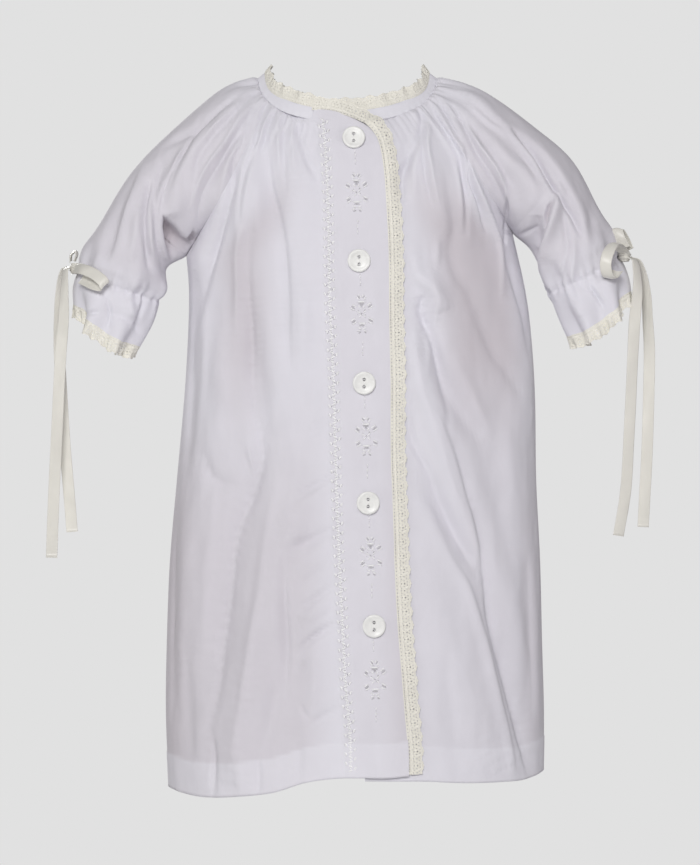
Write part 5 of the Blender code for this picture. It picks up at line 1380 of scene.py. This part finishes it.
# Right front
path = np.array([(x, z) for z, x in PLACKET_EDGE])
steps = distances(path)
edge_line = smooth_rows(steps, path, np.linspace(0, steps[-1], 400))
edge_u, edge_keys = front_share(edge_line[:, 0], edge_line[:, 1], True)
corner = int(np.argmin(np.abs(edge_line[:, 0] + 3.0)))
lap_keys = np.concatenate([[0.0, 0.03, 0.1], cloth_keys[cloth_keys > 0.12]])
row_u = np.interp(lap_keys, edge_keys[corner:], edge_u[corner:])
row_u[0] = edge_u[corner]
row_u[1] = np.interp(-0.2, edge_keys[corner:], edge_u[corner:])
row_u[2] = np.interp(-0.1, edge_keys[corner:], edge_u[corner:])
shares = spread(0, 1, 176, 1.0, 0.15)
right_u = -1 + (row_u[:, None] + 1) * shares[None, :]
right_keys = np.repeat(lap_keys[:, None], len(shares), axis=1)
top_x = body_points(False, right_u[0], 0.0)[:, 0]
top_keys = np.interp(top_x, edge_line[: corner + 1, 0], edge_keys[: corner + 1])
in_placket = top_x > edge_line[0, 0] + 0.5
right_keys[0] = np.where(in_placket, top_keys, 0.0)
right_keys[1] = np.where(in_placket, np.maximum(top_keys * 0.7, -0.2), 0.03)
right_keys[2] = np.where(in_placket, np.maximum(top_keys * 0.4, -0.1), 0.1)
right_form, right_normals = front_form(right_u, right_keys, True)
placket = 1 - ramp(strip_line(right_form[..., 2]) - right_form[..., 0], 2.4, 3.6)
right_form = right_form + right_normals * (0.3 * placket)[..., None]
grid, double = hemmed(right_form, right_normals, table_curve(HEM_FRONT_RIGHT, right_form[..., 0]))
double[: len(right_form)] = np.maximum(double[: len(right_form)], placket * 0.12)
# Painted shade: the right front darker towards its sides and low down, and the placket a little darker
painted_shade = painted_side_shade(right_u, right_keys, double, 1.0, 0.45, 0.7)
painted_shade[: len(placket)] += 0.25 * placket
front_right = cloth_piece("front_right", grid, cloth_tone_and_painted_shade(double, painted_shade))

# Left front
under_z = np.array([z for z, x in PLACKET_EDGE[3:]])
under_x = np.array([x for z, x in PLACKET_EDGE[3:]]) - LAP_WIDTH
under_u, under_keys = front_share(under_x, under_z, False)
row_u = np.interp(cloth_keys, under_keys, under_u)
shares = spread(0, 1, 150, 0.0, 0.15)
left_u = row_u[:, None] + (1 - row_u[:, None]) * shares[None, :]
left_form, left_normals = front_form(left_u, cloth_keys[:, None], False)
grid, double = hemmed(left_form, left_normals, table_curve(HEM_FRONT_LEFT, left_form[..., 0]))
# Painted shade: the left front darker towards its sides and low down
painted_shade = painted_side_shade(left_u, cloth_keys[:, None], double, 1.3, 0.6, 0.15)
front_left = cloth_piece("front_left", grid, cloth_tone_and_painted_shade(double, painted_shade))

# Back
back_u = np.linspace(1, -1, 200)
plain = body_base(True, back_u, cloth_keys, HEM_BACK)
normals = grid_normals(plain)
angles = 180.0 - (180.0 - BACK_RAGLAN_ANGLE) * back_u[None, :]
drop = np.linalg.norm(plain - plain[0], axis=-1)
facing = turned(normals[..., 1])
share = 1.0 - np.abs(back_u)[None, :] + 0 * drop
upper = cloth_keys[:, None] < 3.0
off_seam = np.where(upper, ramp(share, 0.0, SEAM_SHARE), 1.0)
height = off_seam * ramp(drop, 0.0, CREASE_START) * crease_field(plain, BACK_CREASES) + crumple(plain)
height = facing * (height + off_seam * ramp(drop, 0.0, FOLD_START) * fold_field(plain, BACK_FOLDS))
height = height + gather_field(angles, drop) + gathers_fine(angles, drop)
height = height * np.where(upper, 1.0, ramp(share, 0.0, SEAM_EDGE))
back_form = plain + rise_way(normals, np.where(upper, share, 1.0)) * height[..., None]
grid, double = hemmed(back_form, normals, table_curve(HEM_BACK, back_form[..., 0]))
wide_u = np.broadcast_to(back_u, height.shape)
# Painted shade: the back darker towards its sides and low down
painted_shade = painted_side_shade(wide_u, cloth_keys[:, None], double, 0.8, 0.7, 0.4)
back = cloth_piece("back", grid, cloth_tone_and_painted_shade(double, painted_shade))

# Sleeves
cuff_edges = {}
for side, name in ((-1, "sleeve_right"), (1, "sleeve_left")):
    parts = [np.linspace(0, 3, 90)[:-1], np.linspace(3, 4.6, 46)[:-1], np.linspace(4.6, 6, 60)]
    sleeve_keys = np.concatenate(parts)
    t = np.concatenate([np.linspace(-1, 0.1, 140)[:-1], np.linspace(0.1, 1, 70)])[::side]
    plain = sleeve_base(side, t, sleeve_keys)
    normals = grid_normals(plain)
    middle = (RAGLAN_ANGLE + BACK_RAGLAN_ANGLE) / 2
    half = (BACK_RAGLAN_ANGLE - RAGLAN_ANGLE) / 2
    angles = side * (middle + half * t)[None, :]
    drop = np.linalg.norm(plain - plain[0], axis=-1)
    facing = turned(-normals[..., 1])
    rear = turned(normals[..., 1])
    share = 1.0 - np.abs(t)[None, :] + 0 * drop
    upper = sleeve_keys[:, None] < 3.0
    off_seam = np.where(upper, ramp(share, 0.0, SEAM_SHARE), 1.0)
    creases = off_seam * ramp(drop, 0.0, CREASE_START) * crease_field(plain, SLEEVE_CREASES)
    height = facing * (creases + crumple(plain))
    hollows = facing * hollow_field(plain, HOLLOWS)
    fresh = facing * fold_field(plain, FRONT_FOLDS) - hollows
    fresh = fresh + rear * (off_seam * fold_field(plain, SLEEVE_BACK_FOLDS) + crumple(plain))
    height = height + ramp(drop, 0.0, FOLD_START) * fresh
    height = height + gather_field(angles, drop) + gathers_fine(angles, drop)
    flare = ramp(sleeve_keys, 5.0, 6.0)[:, None]
    puff = (ramp(sleeve_keys, 4.2, 4.7) * (1 - ramp(sleeve_keys, 4.8, 5.0)))[:, None]
    wave = np.sin(math.pi * CUFF_WAVES * (t[None, :] + 0.13))
    rng = np.random.default_rng(30 + side)
    pleats = np.zeros_like(height)
    at = -1.0
    while at < 1.0:
        rise = rng.uniform(0.6, 2.1)
        width = rng.uniform(0.016, 0.03)
        reach_up = rng.uniform(0.25, 0.7)
        reach_down = rng.uniform(0.2, 0.8)
        turn = (t[None, :] - at + 1.0) % 2.0 - 1.0
        away = sleeve_keys[:, None] - 5.0
        reach = np.where(away < 0, reach_up, reach_down)
        fade = np.clip(1 - np.abs(away) / reach, 0, 1) ** 1.2
        pleats += rise * fade * np.exp(-((turn / (width * (1 + 1.5 * np.abs(away)))) ** 2))
        at += rng.uniform(0.05, 0.1)
    tuck = np.exp(-(((sleeve_keys[:, None] - 5.0) / 0.05) ** 2))
    height = height * np.where(upper, 1.0, ramp(share, 0.0, SLEEVE_SEAM_EDGE))
    height = height + wave * (2.8 * flare + 1.4 * puff) + pleats - 0.9 * tuck
    grid = plain + rise_way(normals, np.where(upper, share, 1.0)) * height[..., None]
    # Painted shade on the sleeves: little at the neck, more down the arm, none on the flounce, and most in
    # the underarm hollow
    shade = 0.05 + 0.45 * ramp(sleeve_keys, 0.3, 1.6) - 0.5 * ramp(sleeve_keys, 4.3, 5.1)
    cloth_piece(name, grid, cloth_tone_and_painted_shade(0 * height, shade[:, None] + 0.12 * hollows))
    cuff_edges[side] = (grid[-1].copy(), unit(grid[-1] - grid[-6]))

# Neck band
angles = np.linspace(BAND_END + 3.6, -18.0 - 360.0, 300)
lift = LAP_RISE * ramp(angles, -60.0, -34.0) + 0.25 - 2.0 * ramp(-angles, 336.0, 350.0)
lift = lift - 0.9 * (1 - ramp(-angles, 21.2, 23.4))
rows = []
for share in np.linspace(0, 1, 13):
    swell = 0.3 * np.sin(np.pi * share) ** 0.5
    ripple = 0.18 * np.sin(np.radians(angles) * 61.0) * share**2
    rows.append(neck_points(angles, BAND_HEIGHT - (BAND_HEIGHT + 0.25) * share, lift + swell + ripple))
rows.append(neck_points(angles, 0.35, lift - 0.2))
for share in np.linspace(1, 0, 5):
    rows.append(neck_points(angles, BAND_HEIGHT + (0.35 - BAND_HEIGHT) * share, lift - 1.2))
grid = np.array(rows)
cloth_piece("neck_band", grid, np.ones((grid.shape[0] * grid.shape[1], 3)))


# The lace
def lace_edge(s):
    """How far the scalloped edge is from the seam's edge."""
    return SCALLOP_MIDDLE + SCALLOP_SWING * np.cos(2 * math.pi * s / SCALLOP + math.pi)


def lace_level(s, v):
    """Above 0 where there is thread: s runs along in mm, v across from 0 to 9."""
    at = s % SCALLOP
    edge = lace_edge(s) - v
    picots = 0.16 * np.cos(2 * math.pi * s / (SCALLOP / 4))
    level = edge + picots
    for spot_s, spot_v, radius in LACE_HOLES:
        gap = (at - spot_s + SCALLOP / 2) % SCALLOP - SCALLOP / 2
        level = np.minimum(level, np.hypot(gap, v - spot_v) - 1.14 * radius)
    return np.minimum(level, v + 0.05)


def lace_rise(s, v):
    """Relief of the corded edge and the solid petals."""
    edge = lace_edge(s)
    cord = 0.22 * np.exp(-(((edge - v - 0.45) / 0.4) ** 2))
    cord = cord + 0.15 * np.exp(-(((v - 2.0) / 0.35) ** 2))
    at = s % SCALLOP - SCALLOP / 2
    petal = 0.2 * np.exp(-((np.hypot(at, v - 5.3) - 1.9) ** 2) / 0.3)
    return cord + petal + 0.05 * np.sin(s * 9.0) * np.sin(v * 9.0)


def lace_flat(length):
    """The lace cut out flat: points along and across, and its faces."""
    cell_s = SCALLOP / 33
    count_s = int(round(length / cell_s))
    count_v = 38
    s = np.arange(count_s + 1) * (length / count_s)
    v = np.linspace(0.0, LACE_GRID_WIDTH, count_v + 1)
    grid_s, grid_v = np.meshgrid(s, v, indexing="ij")
    level = lace_level(grid_s, grid_v)
    whole = (count_s + 1) * (count_v + 1)
    ids = np.arange(whole).reshape(grid_s.shape)
    inside = level > 0
    # points where the outline crosses the grid's lines
    cross_s = inside[:-1] != inside[1:]
    cross_v = inside[:, :-1] != inside[:, 1:]
    id_s = -np.ones(cross_s.shape, int)
    id_v = -np.ones(cross_v.shape, int)
    id_s[cross_s] = whole + np.arange(cross_s.sum())
    id_v[cross_v] = whole + cross_s.sum() + np.arange(cross_v.sum())
    f = (level[:-1] / (level[:-1] - level[1:]))[cross_s]
    at_s = np.stack([grid_s[:-1][cross_s] + f * (s[1] - s[0]), grid_v[:-1][cross_s]], axis=1)
    f = (level[:, :-1] / (level[:, :-1] - level[:, 1:]))[cross_v]
    at_v = np.stack([grid_s[:, :-1][cross_v], grid_v[:, :-1][cross_v] + f * (v[1] - v[0])], axis=1)
    points = np.concatenate([np.stack([grid_s.ravel(), grid_v.ravel()], axis=1), at_s, at_v])
    faces = []
    full = inside[:-1, :-1] & inside[1:, :-1] & inside[1:, 1:] & inside[:-1, 1:]
    some = inside[:-1, :-1] | inside[1:, :-1] | inside[1:, 1:] | inside[:-1, 1:]
    for i, j in zip(*np.nonzero(full)):
        faces.append((ids[i, j], ids[i + 1, j], ids[i + 1, j + 1], ids[i, j + 1]))
    for i, j in zip(*np.nonzero(some & ~full)):
        ring = (
            (inside[i, j], ids[i, j], id_s[i, j]),
            (inside[i + 1, j], ids[i + 1, j], id_v[i + 1, j]),
            (inside[i + 1, j + 1], ids[i + 1, j + 1], id_s[i, j + 1]),
            (inside[i, j + 1], ids[i, j + 1], id_v[i, j]),
        )
        corners = []
        for kept, spot, crossing in ring:
            if kept:
                corners.append(spot)
            if crossing >= 0:
                corners.append(crossing)
        if len(corners) >= 3:
            faces.append(tuple(corners))
    used = np.unique(np.concatenate([np.array(face) for face in faces]))
    renumber = -np.ones(len(points), int)
    renumber[used] = np.arange(len(used))
    return points[used], [tuple(renumber[list(face)].tolist()) for face in faces]


def lace_piece(name, length, rows, marks, nodes):
    """Lace of a length over rows of points, from the seam's edge to the free edge.
    marks are the rows' places along, in the lace's own millimetres."""
    flat, faces = lace_flat(length)
    s, v = flat[:, 0], flat[:, 1]
    spots = []
    for row in rows:
        spots.append(np.stack([np.interp(s, marks, row[:, k]) for k in range(3)], axis=1))
    f = (v / LACE_WIDTH)[:, None]
    first, middle, last = spots
    points = first * (1 - f) * (1 - 2 * f) + middle * 4 * f * (1 - f) + last * f * (2 * f - 1)
    along = np.gradient(rows[1], axis=0)
    over = rows[2] - rows[0]
    normals = unit(np.cross(over, along))
    facing = np.stack([np.interp(s, marks, normals[:, k]) for k in range(3)], axis=1)
    points = points + facing * (lace_rise(s, v) * LACE_SIDE.get(name, 1.0))[:, None]
    return finish_piece(name + "_cotton", points, faces, LACE_COTTON, nodes, flat)


# Neck lace
angles = np.linspace(BAND_END + 2.6, -8.0 - 360.0, 700)
hidden = ramp(-angles, 334.0, 352.0)
lift = LAP_RISE * ramp(angles, -60.0, -34.0) + 0.1 - 2.0 * hidden
at_side = ramp(np.abs(np.sin(np.radians(angles))), 0.6, 0.95)
wave = (1.2 - 0.55 * at_side) * np.sin(np.radians(angles) * 21.0 + 0.6 * np.sin(np.radians(angles) * 7.0))
wave = (wave + 0.4 * np.sin(np.radians(angles) * 43.0 + 0.7)) * (1 - hidden)
tall = FRONT_LACE_HEIGHT - 1.6 * np.sin(np.radians(angles)) ** 4 + 0.4
base = neck_points(angles, BAND_HEIGHT + 0.1 - 2.2 * at_side, lift + 0.8 * at_side)
half = neck_points(angles, BAND_HEIGHT + 0.1 + tall * 0.5 - 1.2 * at_side, lift + wave * 0.45 + 2.6 * at_side)
uneven = 0.4 * np.sin(np.radians(angles) * 25.0 + 1.2)
tip = neck_points(angles, BAND_HEIGHT + 0.1 + tall + uneven, lift + wave + 3.6 * at_side)
marks = distances(half) * 1.06
lace_piece("neck_lace", marks[-1], [base, half, tip], marks, ["neck_lace"])

# Placket lace
along = np.linspace(0.0, steps[-1] - 0.3, 800)
line = smooth_rows(steps, path, along)
way = unit(np.gradient(line, axis=0))
out = np.stack([-way[:, 1], way[:, 0]], axis=1)
reach = PLACKET_LACE_WIDTH + 0.2 - 1.0 * (1 - ramp(along, 10.0, 40.0))
rows = []
for width, rise in ((0.0, 2.45), (0.5, 2.2), (1.0, 1.3)):
    side = line + out * (-0.5 + (reach + 0.5)[:, None] * width)
    u, place = front_share(side[:, 0], side[:, 1], False)
    plain, normals = front_form(u, place, False)
    beyond = ramp(along, 8.0, 30.0)
    lifted = rise + (LAP_RISE - rise) * (1 - beyond) + 1.4 * np.exp(-((place / 0.35) ** 2))
    lifted = lifted + width * (0.35 * np.sin(along * 0.21) + 0.25 * np.sin(along * 0.47 + 1.0))
    rows.append(plain + normals * lifted[:, None])
marks = along - along[0]
lace_piece("placket_lace", marks[-1], rows, marks, ["placket_lace"])

# Cuff lace
for side, name in ((-1, "cuff_lace_right"), (1, "cuff_lace_left")):
    edge, way = cuff_edges[side]
    marks = distances(edge)
    out = unit(np.cross(way, np.gradient(edge, axis=0))) * -side
    wave = np.sin(marks * 0.62 + 1.3 * np.sin(marks * 0.11)) + 0.6 * np.sin(marks * 1.07 + 2.0)
    scallop = 0.5 * np.sin(marks * 0.31 + 1.0)
    rows = [edge - way * 0.3, edge + way * 4.4 + out * (0.75 * wave)[:, None]]
    rows.append(edge + way * (LACE_WIDTH + scallop)[:, None] + out * (1.5 * wave)[:, None])
    marks = 1.12 * distances(rows[1])
    lace_piece(name, marks[-1], rows, marks, [name])


# The thread
def stitches(name, lines, radius, rise, material):
    """Short stitches lying on the front: each from x, z to x, z in the front view."""
    count = 5
    f = np.linspace(0, 1, count)
    starts = np.array([(a, b) for a, b, c, d in lines])
    ends = np.array([(c, d) for a, b, c, d in lines])
    spots = starts[:, None] * (1 - f)[None, :, None] + ends[:, None] * f[None, :, None]
    points, normals = on_front(spots[..., 0], spots[..., 1])
    radius = np.broadcast_to(np.asarray(radius, float), (len(lines),))
    arch = rise + 0.25 * radius[:, None] * np.sin(np.pi * f)[None, :]
    centres = points + normals * arch[..., None]
    way = unit(np.gradient(centres, axis=1))
    side = unit(np.cross(way, normals))
    size = radius[:, None] * np.array([0.45, 0.95, 1.0, 0.95, 0.45])[None, :]
    corners = 6
    rings = []
    for cosine, sine in circle_steps(corners):
        rings.append(centres + (side * cosine + normals * sine * 0.8) * size[..., None])
    rings = np.stack(rings, axis=2)
    faces = []
    for index in range(len(lines)):
        start = index * count * corners
        faces += grid_faces(count, corners, start, True)
        faces.append(tuple(start + k for k in range(corners)))
        faces.append(tuple(start + (count - 1) * corners + k for k in range(corners - 1, -1, -1)))
    return finish_piece(name, rings.reshape(-1, 3), faces, material)


# Feather stitch strip down the front, and the small holes that it pulls open, drawn as grey dots of painted
# shade
lines = []
hole_shade_dots = []
z = FEATHER_TOP
index = 0
while z > FEATHER_END:
    x = float(strip_line(z))
    way = 1 if index % 2 == 0 else -1
    hole_x = x + way * 1.75
    hole_shade_dots.append((hole_x, z - 0.5, hole_x + 0.1 * way, z + 0.5))
    lines.append((hole_x - way * 0.6, z + 0.7, x - way * 1.5, z + 2.2))
    lines.append((hole_x - way * 0.6, z - 0.7, x - way * 1.4, z - 2.0))
    lines.append((hole_x + way * 0.65, z + 1.1, hole_x + way * 0.75, z - 1.1))
    lines.append((hole_x + way * 0.7, z + 0.2, hole_x + way * 1.7, z + 1.2))
    lines.append((x - way * 0.1, z + 0.5, x + way * 0.1, z - 0.5))
    z -= FEATHER_PITCH
    index += 1
stitches("feather_stitch", lines, 0.62, 0.36, WHITE_THREAD)
stitches("feather_hole_shade", hole_shade_dots, 0.5, 0.12, SHADOW_THREAD)

# Embroidered sprigs between the buttons
for name, table, thread, rise, thickness in (
    ("sprigs", SPRIG_STITCHES, WHITE_THREAD, 0.42, 0.46),
    # The slits are grey thread: painted shade in the openings
    ("sprig_slit_shade", SPRIG_SLIT_SHADES, SHADOW_THREAD, 0.08, 0.42),
):
    lines = []
    sizes = []
    for px, py in SPRIGS:
        for ax, ay, bx, by, width in table:
            start = photo_spot(px + ax, py + ay, SPRIG_DEPTH)
            lines.append(start + photo_spot(px + bx, py + by, SPRIG_DEPTH))
            sizes.append(width * thickness)
    stitches(name, lines, np.array(sizes), rise, thread)

# Hemstitch holes along the placket's seam
# The holes are grey discs on the seam: painted shade in the openings
at = np.arange(6.0, steps[-1] - 2.0, HEMSTITCH_PITCH)
spots = smooth_rows(steps, path, at)
ways = unit(np.gradient(spots, axis=0))
outs = np.stack([-ways[:, 1], ways[:, 0]], axis=1)
ins = spots + outs * 0.35
u, place = front_share(ins[:, 0], ins[:, 1], False)
points, normals = front_form(u, place, False)
lifted = 2.75 + (LAP_RISE - 2.45) * (1 - ramp(at, 8.0, 30.0)) + 1.4 * np.exp(-((place / 0.35) ** 2))
points = points + normals * lifted[:, None]
along3 = unit(np.gradient(points, axis=0))
aside3 = np.cross(normals, along3)
corners = 8
rings = []
for share in (0.0, 1.0):
    for cosine, sine in circle_steps(corners if share else 1):
        rings.append(points + (along3 * cosine * 0.34 + aside3 * sine * 0.42) * share)
hole_shade_discs = np.stack(rings, axis=1)
faces = []
for index in range(len(points)):
    start = index * (corners + 1)
    for k in range(corners):
        faces.append((start, start + 1 + k, start + 1 + (k + 1) % corners))
finish_piece("hemstitch_hole_shade", hole_shade_discs.reshape(-1, 3), faces, SEAM_SHADE)


# The buttons
def button(index, x, z, stand):
    u, place = front_share(np.array([x]), np.array([z]), True)
    plain, normals = front_cloth(u, place, True)
    normal = unit(normals[0] * np.array([1.0, 1.0, 0.6]))
    origin = plain[0] + normal * stand
    side = unit(np.cross(normal, np.array([0.0, 0.0, 1.0])))
    up = np.cross(side, normal)
    r = BUTTON_RADIUS
    rings = [(0.0, 0.0), (r - 1.2, 0.0), (r - 0.5, 0.25), (r - 0.08, 0.7), (r, 1.1), (r - 0.12, 1.55)]
    rings += [(r - 0.5, 1.85), (r - 1.0, 1.92), (r - 1.6, 1.84), (r - 2.2, 1.64), (r - 2.8, 1.5)]
    rings += [(r - 3.4, 1.44), (2.0, 1.4), (0.0, 1.4)]
    points = []
    for radius, rise in rings:
        for cosine, sine in circle_steps(BUTTON_SIDES if radius > 0 else 1):
            points.append(origin + (side * cosine + up * sine) * radius + normal * rise)
    faces = []
    inner = len(rings) - 2
    for k in range(BUTTON_SIDES):
        n = (k + 1) % BUTTON_SIDES
        faces.append((0, 1 + k, 1 + n))
        for ring in range(inner - 1):
            a = 1 + ring * BUTTON_SIDES
            b = a + BUTTON_SIDES
            faces.append((a + k, b + k, b + n, a + n))
        a = 1 + (inner - 1) * BUTTON_SIDES
        faces.append((a + k, a + BUTTON_SIDES, a + n))
    item = finish_piece(f"button_{index}_pearl", points, faces, PEARL, [f"button_{index}"])
    for way in (-1, 1):
        pin = []
        for depth in (-1.0, 3.5):
            spot = origin + up * (way * BUTTON_HOLE_OFFSET) + normal * depth
            for cosine, sine in circle_steps(PIN_SIDES):
                pin.append(spot + (side * cosine + up * sine) * BUTTON_HOLE)
        pin_faces = grid_faces(2, PIN_SIDES, 0, True)
        pin_faces += [tuple(range(PIN_SIDES)), tuple(range(2 * PIN_SIDES - 1, PIN_SIDES - 1, -1))]
        mesh = bpy.data.meshes.new("pin")
        mesh.from_pydata([tuple(p) for p in np.array(pin) * MM], [], pin_faces)
        cutter = bpy.data.objects.new("pin", mesh)
        bpy.context.scene.collection.objects.link(cutter)
        cut = item.modifiers.new("hole", "BOOLEAN")
        cut.operation = "DIFFERENCE"
        cut.solver = "EXACT"
        cut.object = cutter
        apply_modifiers(item)
        bpy.data.objects.remove(cutter, do_unlink=True)
    item.data.polygons.foreach_set("use_smooth", [True] * len(item.data.polygons))
    rings = []
    faces = []
    for way in (-1, 1):
        for shift in (-0.42, 0.0, 0.42):
            faces += grid_faces(9, 6, len(rings), True)
            for f in np.linspace(0, 1, 9):
                reach = BUTTON_HOLE_OFFSET * way + 0.6 * (0.5 - f) * way
                rise = 0.62 + 0.62 * math.sin(math.pi * (0.1 + 0.8 * f))
                centre = origin + up * reach + side * shift * (1.1 - 0.3 * f) + normal * rise
                for cosine, sine in circle_steps(6):
                    rings.append(centre + (side * cosine + normal * sine) * BUTTON_THREAD)
    finish_piece(f"button_{index}_thread", rings, faces, WHITE_THREAD)


def apply_modifiers(item):
    bpy.context.view_layer.update()
    evaluated = item.evaluated_get(bpy.context.evaluated_depsgraph_get())
    mesh = bpy.data.meshes.new_from_object(evaluated)
    item.modifiers.clear()
    item.data = mesh


for index, (x, z, stand) in enumerate(BUTTONS):
    button(index + 1, x, z, stand)


# The bows
def ribbon(name, rows, steps_each, node, bend, wrinkle):
    """A satin ribbon on its solid's line, slightly cupped across."""
    centres = [row[:3] for row in rows]
    turns = [math.radians(row[3]) for row in rows]
    rises = [math.radians(row[4]) if len(row) > 4 else 0.0 for row in rows]
    marks = np.arange(len(rows), dtype=float)
    fine = np.linspace(0, len(rows) - 1, steps_each * (len(rows) - 1) + 1)
    centres = smooth_rows(marks, centres, fine)
    turns = smooth_rows(marks, turns, fine)
    rises = smooth_rows(marks, rises, fine)
    level = np.cos(rises)
    across = np.stack([np.cos(turns) * level, np.sin(turns) * level, np.sin(rises)], axis=1)
    along = unit(np.gradient(centres, axis=0))
    across = unit(across - along * np.sum(across * along, axis=1, keepdims=True))
    face = np.cross(along, across)
    length = distances(centres)
    columns = np.linspace(-1, 1, 13)
    sides = []
    for way in (1, -1):
        grid = []
        for c in columns * way:
            ripple = wrinkle * (np.sin(length * 0.13 + 2.0 * c) + 0.6 * np.sin(length * 0.41 - 1.5 * c))
            selvedge = 0.08 * ramp(np.abs(c), 0.85, 1.0)
            off = -bend * (c**2 - 0.3) + ripple
            lift = off + way * (RIBBON_HALF_WALL + selvedge)
            grid.append(centres + across * (c * RIBBON_WIDTH / 2) + face * lift[:, None])
        sides.append(np.stack(grid, axis=1))
    ring = np.concatenate(sides, axis=1)
    count = ring.shape[1]
    faces = grid_faces(len(centres), count, 0, True)
    faces.append(tuple(range(count - 1, -1, -1)))
    faces.append(tuple((len(centres) - 1) * count + k for k in range(count)))
    places = np.concatenate([columns, -columns]) * RIBBON_WIDTH / 2
    flat = np.stack(np.broadcast_arrays(places[None, :], length[:, None]), axis=-1).reshape(-1, 2)
    item = finish_piece(name, ring.reshape(-1, 3), faces, SATIN, [node], flat)
    return item, centres, length[-1]


for name, rows in RIBBONS.items():
    item, centres, length = ribbon(name + "_satin", rows, 12, name, 0.25, 0.1)
for name, rows in LOOPS.items():
    ribbon(name + "_satin", rows, 12, name, 0.6, 0.22)

# How far each knot's satin lies aside of its solid's middle
KNOT_SHIFT = {"bow_knot_right": 1.6, "bow_knot_left": -0.6}
KNOT_LEVELS = 15
KNOT_SIDES = 28
for name, (centre, half) in BOW_KNOTS.items():
    rows = []
    for level in np.linspace(-1, 1, KNOT_LEVELS):
        ring = []
        pinch = 1 - 0.35 * abs(level) ** 3 - 0.08 * math.cos(level * 9)
        for k in range(KNOT_SIDES):
            angle = 2 * math.pi * k / KNOT_SIDES
            fold = 1 + 0.04 * math.cos(5 * angle + 1.5 * level)
            ring.append(
                (
                    centre[0] + KNOT_SHIFT[name] + 1.35 * half[0] * pinch * fold * math.cos(angle),
                    centre[1] + half[1] * pinch * fold * math.sin(angle),
                    centre[2] + half[2] * level,
                )
            )
        rows.append(ring)
    grid = np.array(rows)
    faces = grid_faces(KNOT_LEVELS, KNOT_SIDES, 0, True)
    faces.append(tuple(range(KNOT_SIDES - 1, -1, -1)))
    faces.append(tuple((KNOT_LEVELS - 1) * KNOT_SIDES + k for k in range(KNOT_SIDES)))
    points = grid.reshape(-1, 3)
    finish_piece(name + "_satin", points, faces, SATIN, [name], points[:, 1:])


# Stage and camera
floor_mesh = bpy.data.meshes.new("floor")
corners = [(-1, -1), (1, -1), (1, 1), (-1, 1)]
corners = [(x * FLOOR_HALF_WIDTH, y * FLOOR_HALF_WIDTH, FLOOR_HEIGHT) for x, y in corners]
floor_mesh.from_pydata(corners, [], [(0, 1, 2, 3)])
floor = bpy.data.objects.new("floor", floor_mesh)
bpy.context.scene.collection.objects.link(floor)
paint, _, _, shader = node_material("floor_paint")
shader.inputs["Base Color"].default_value = (0.8, 0.8, 0.8, 1.0)
shader.inputs["Roughness"].default_value = 0.9
floor_mesh.materials.append(paint)

world = bpy.data.worlds.new("studio")
world.use_nodes = True
bpy.context.scene.world = world
tree = world.node_tree
ground = tree.nodes["Background"]
ground.inputs["Color"].default_value = (*AMBIENT_COLOUR, 1.0)
ground.inputs["Strength"].default_value = AMBIENT
seen = tree.nodes.new("ShaderNodeBackground")
seen.inputs["Color"].default_value = (*BACKDROP_COLOUR, 1.0)
seen.inputs["Strength"].default_value = 1.0
paths = tree.nodes.new("ShaderNodeLightPath")
choose = tree.nodes.new("ShaderNodeMixShader")
tree.links.new(paths.outputs["Is Camera Ray"], choose.inputs["Fac"])
tree.links.new(ground.outputs["Background"], choose.inputs[1])
tree.links.new(seen.outputs["Background"], choose.inputs[2])
tree.links.new(choose.outputs["Shader"], tree.nodes["World Output"].inputs["Surface"])


def area_light(name, place, aim, size, power, colour):
    data = bpy.data.lights.new(name, "AREA")
    data.shape = "RECTANGLE"
    data.size, data.size_y = size
    data.energy = power
    data.color = colour
    item = bpy.data.objects.new(name, data)
    bpy.context.scene.collection.objects.link(item)
    item.location = place
    item.rotation_mode = "QUATERNION"
    item.rotation_quaternion = (Vector(aim) - Vector(place)).to_track_quat("-Z", "Y")
    return item


for name, place, aim, size, power, colour in LIGHTS:
    area_light(name, place, aim, size, power, colour)

camera_data = bpy.data.cameras.new("camera")
camera_data.sensor_fit = "AUTO"
camera_data.sensor_width = SENSOR_WIDTH
camera_data.lens = SENSOR_WIDTH * CAMERA_DISTANCE / (PHOTO_HEIGHT * PIXEL * MM)
camera_data.clip_end = 50.0
camera = bpy.data.objects.new("camera", camera_data)
bpy.context.scene.collection.objects.link(camera)
camera.location = (AIM[0] * MM, -CAMERA_DISTANCE, CAMERA_HEIGHT)
camera.rotation_euler = (math.radians(90), 0, 0)
bpy.context.scene.camera = camera
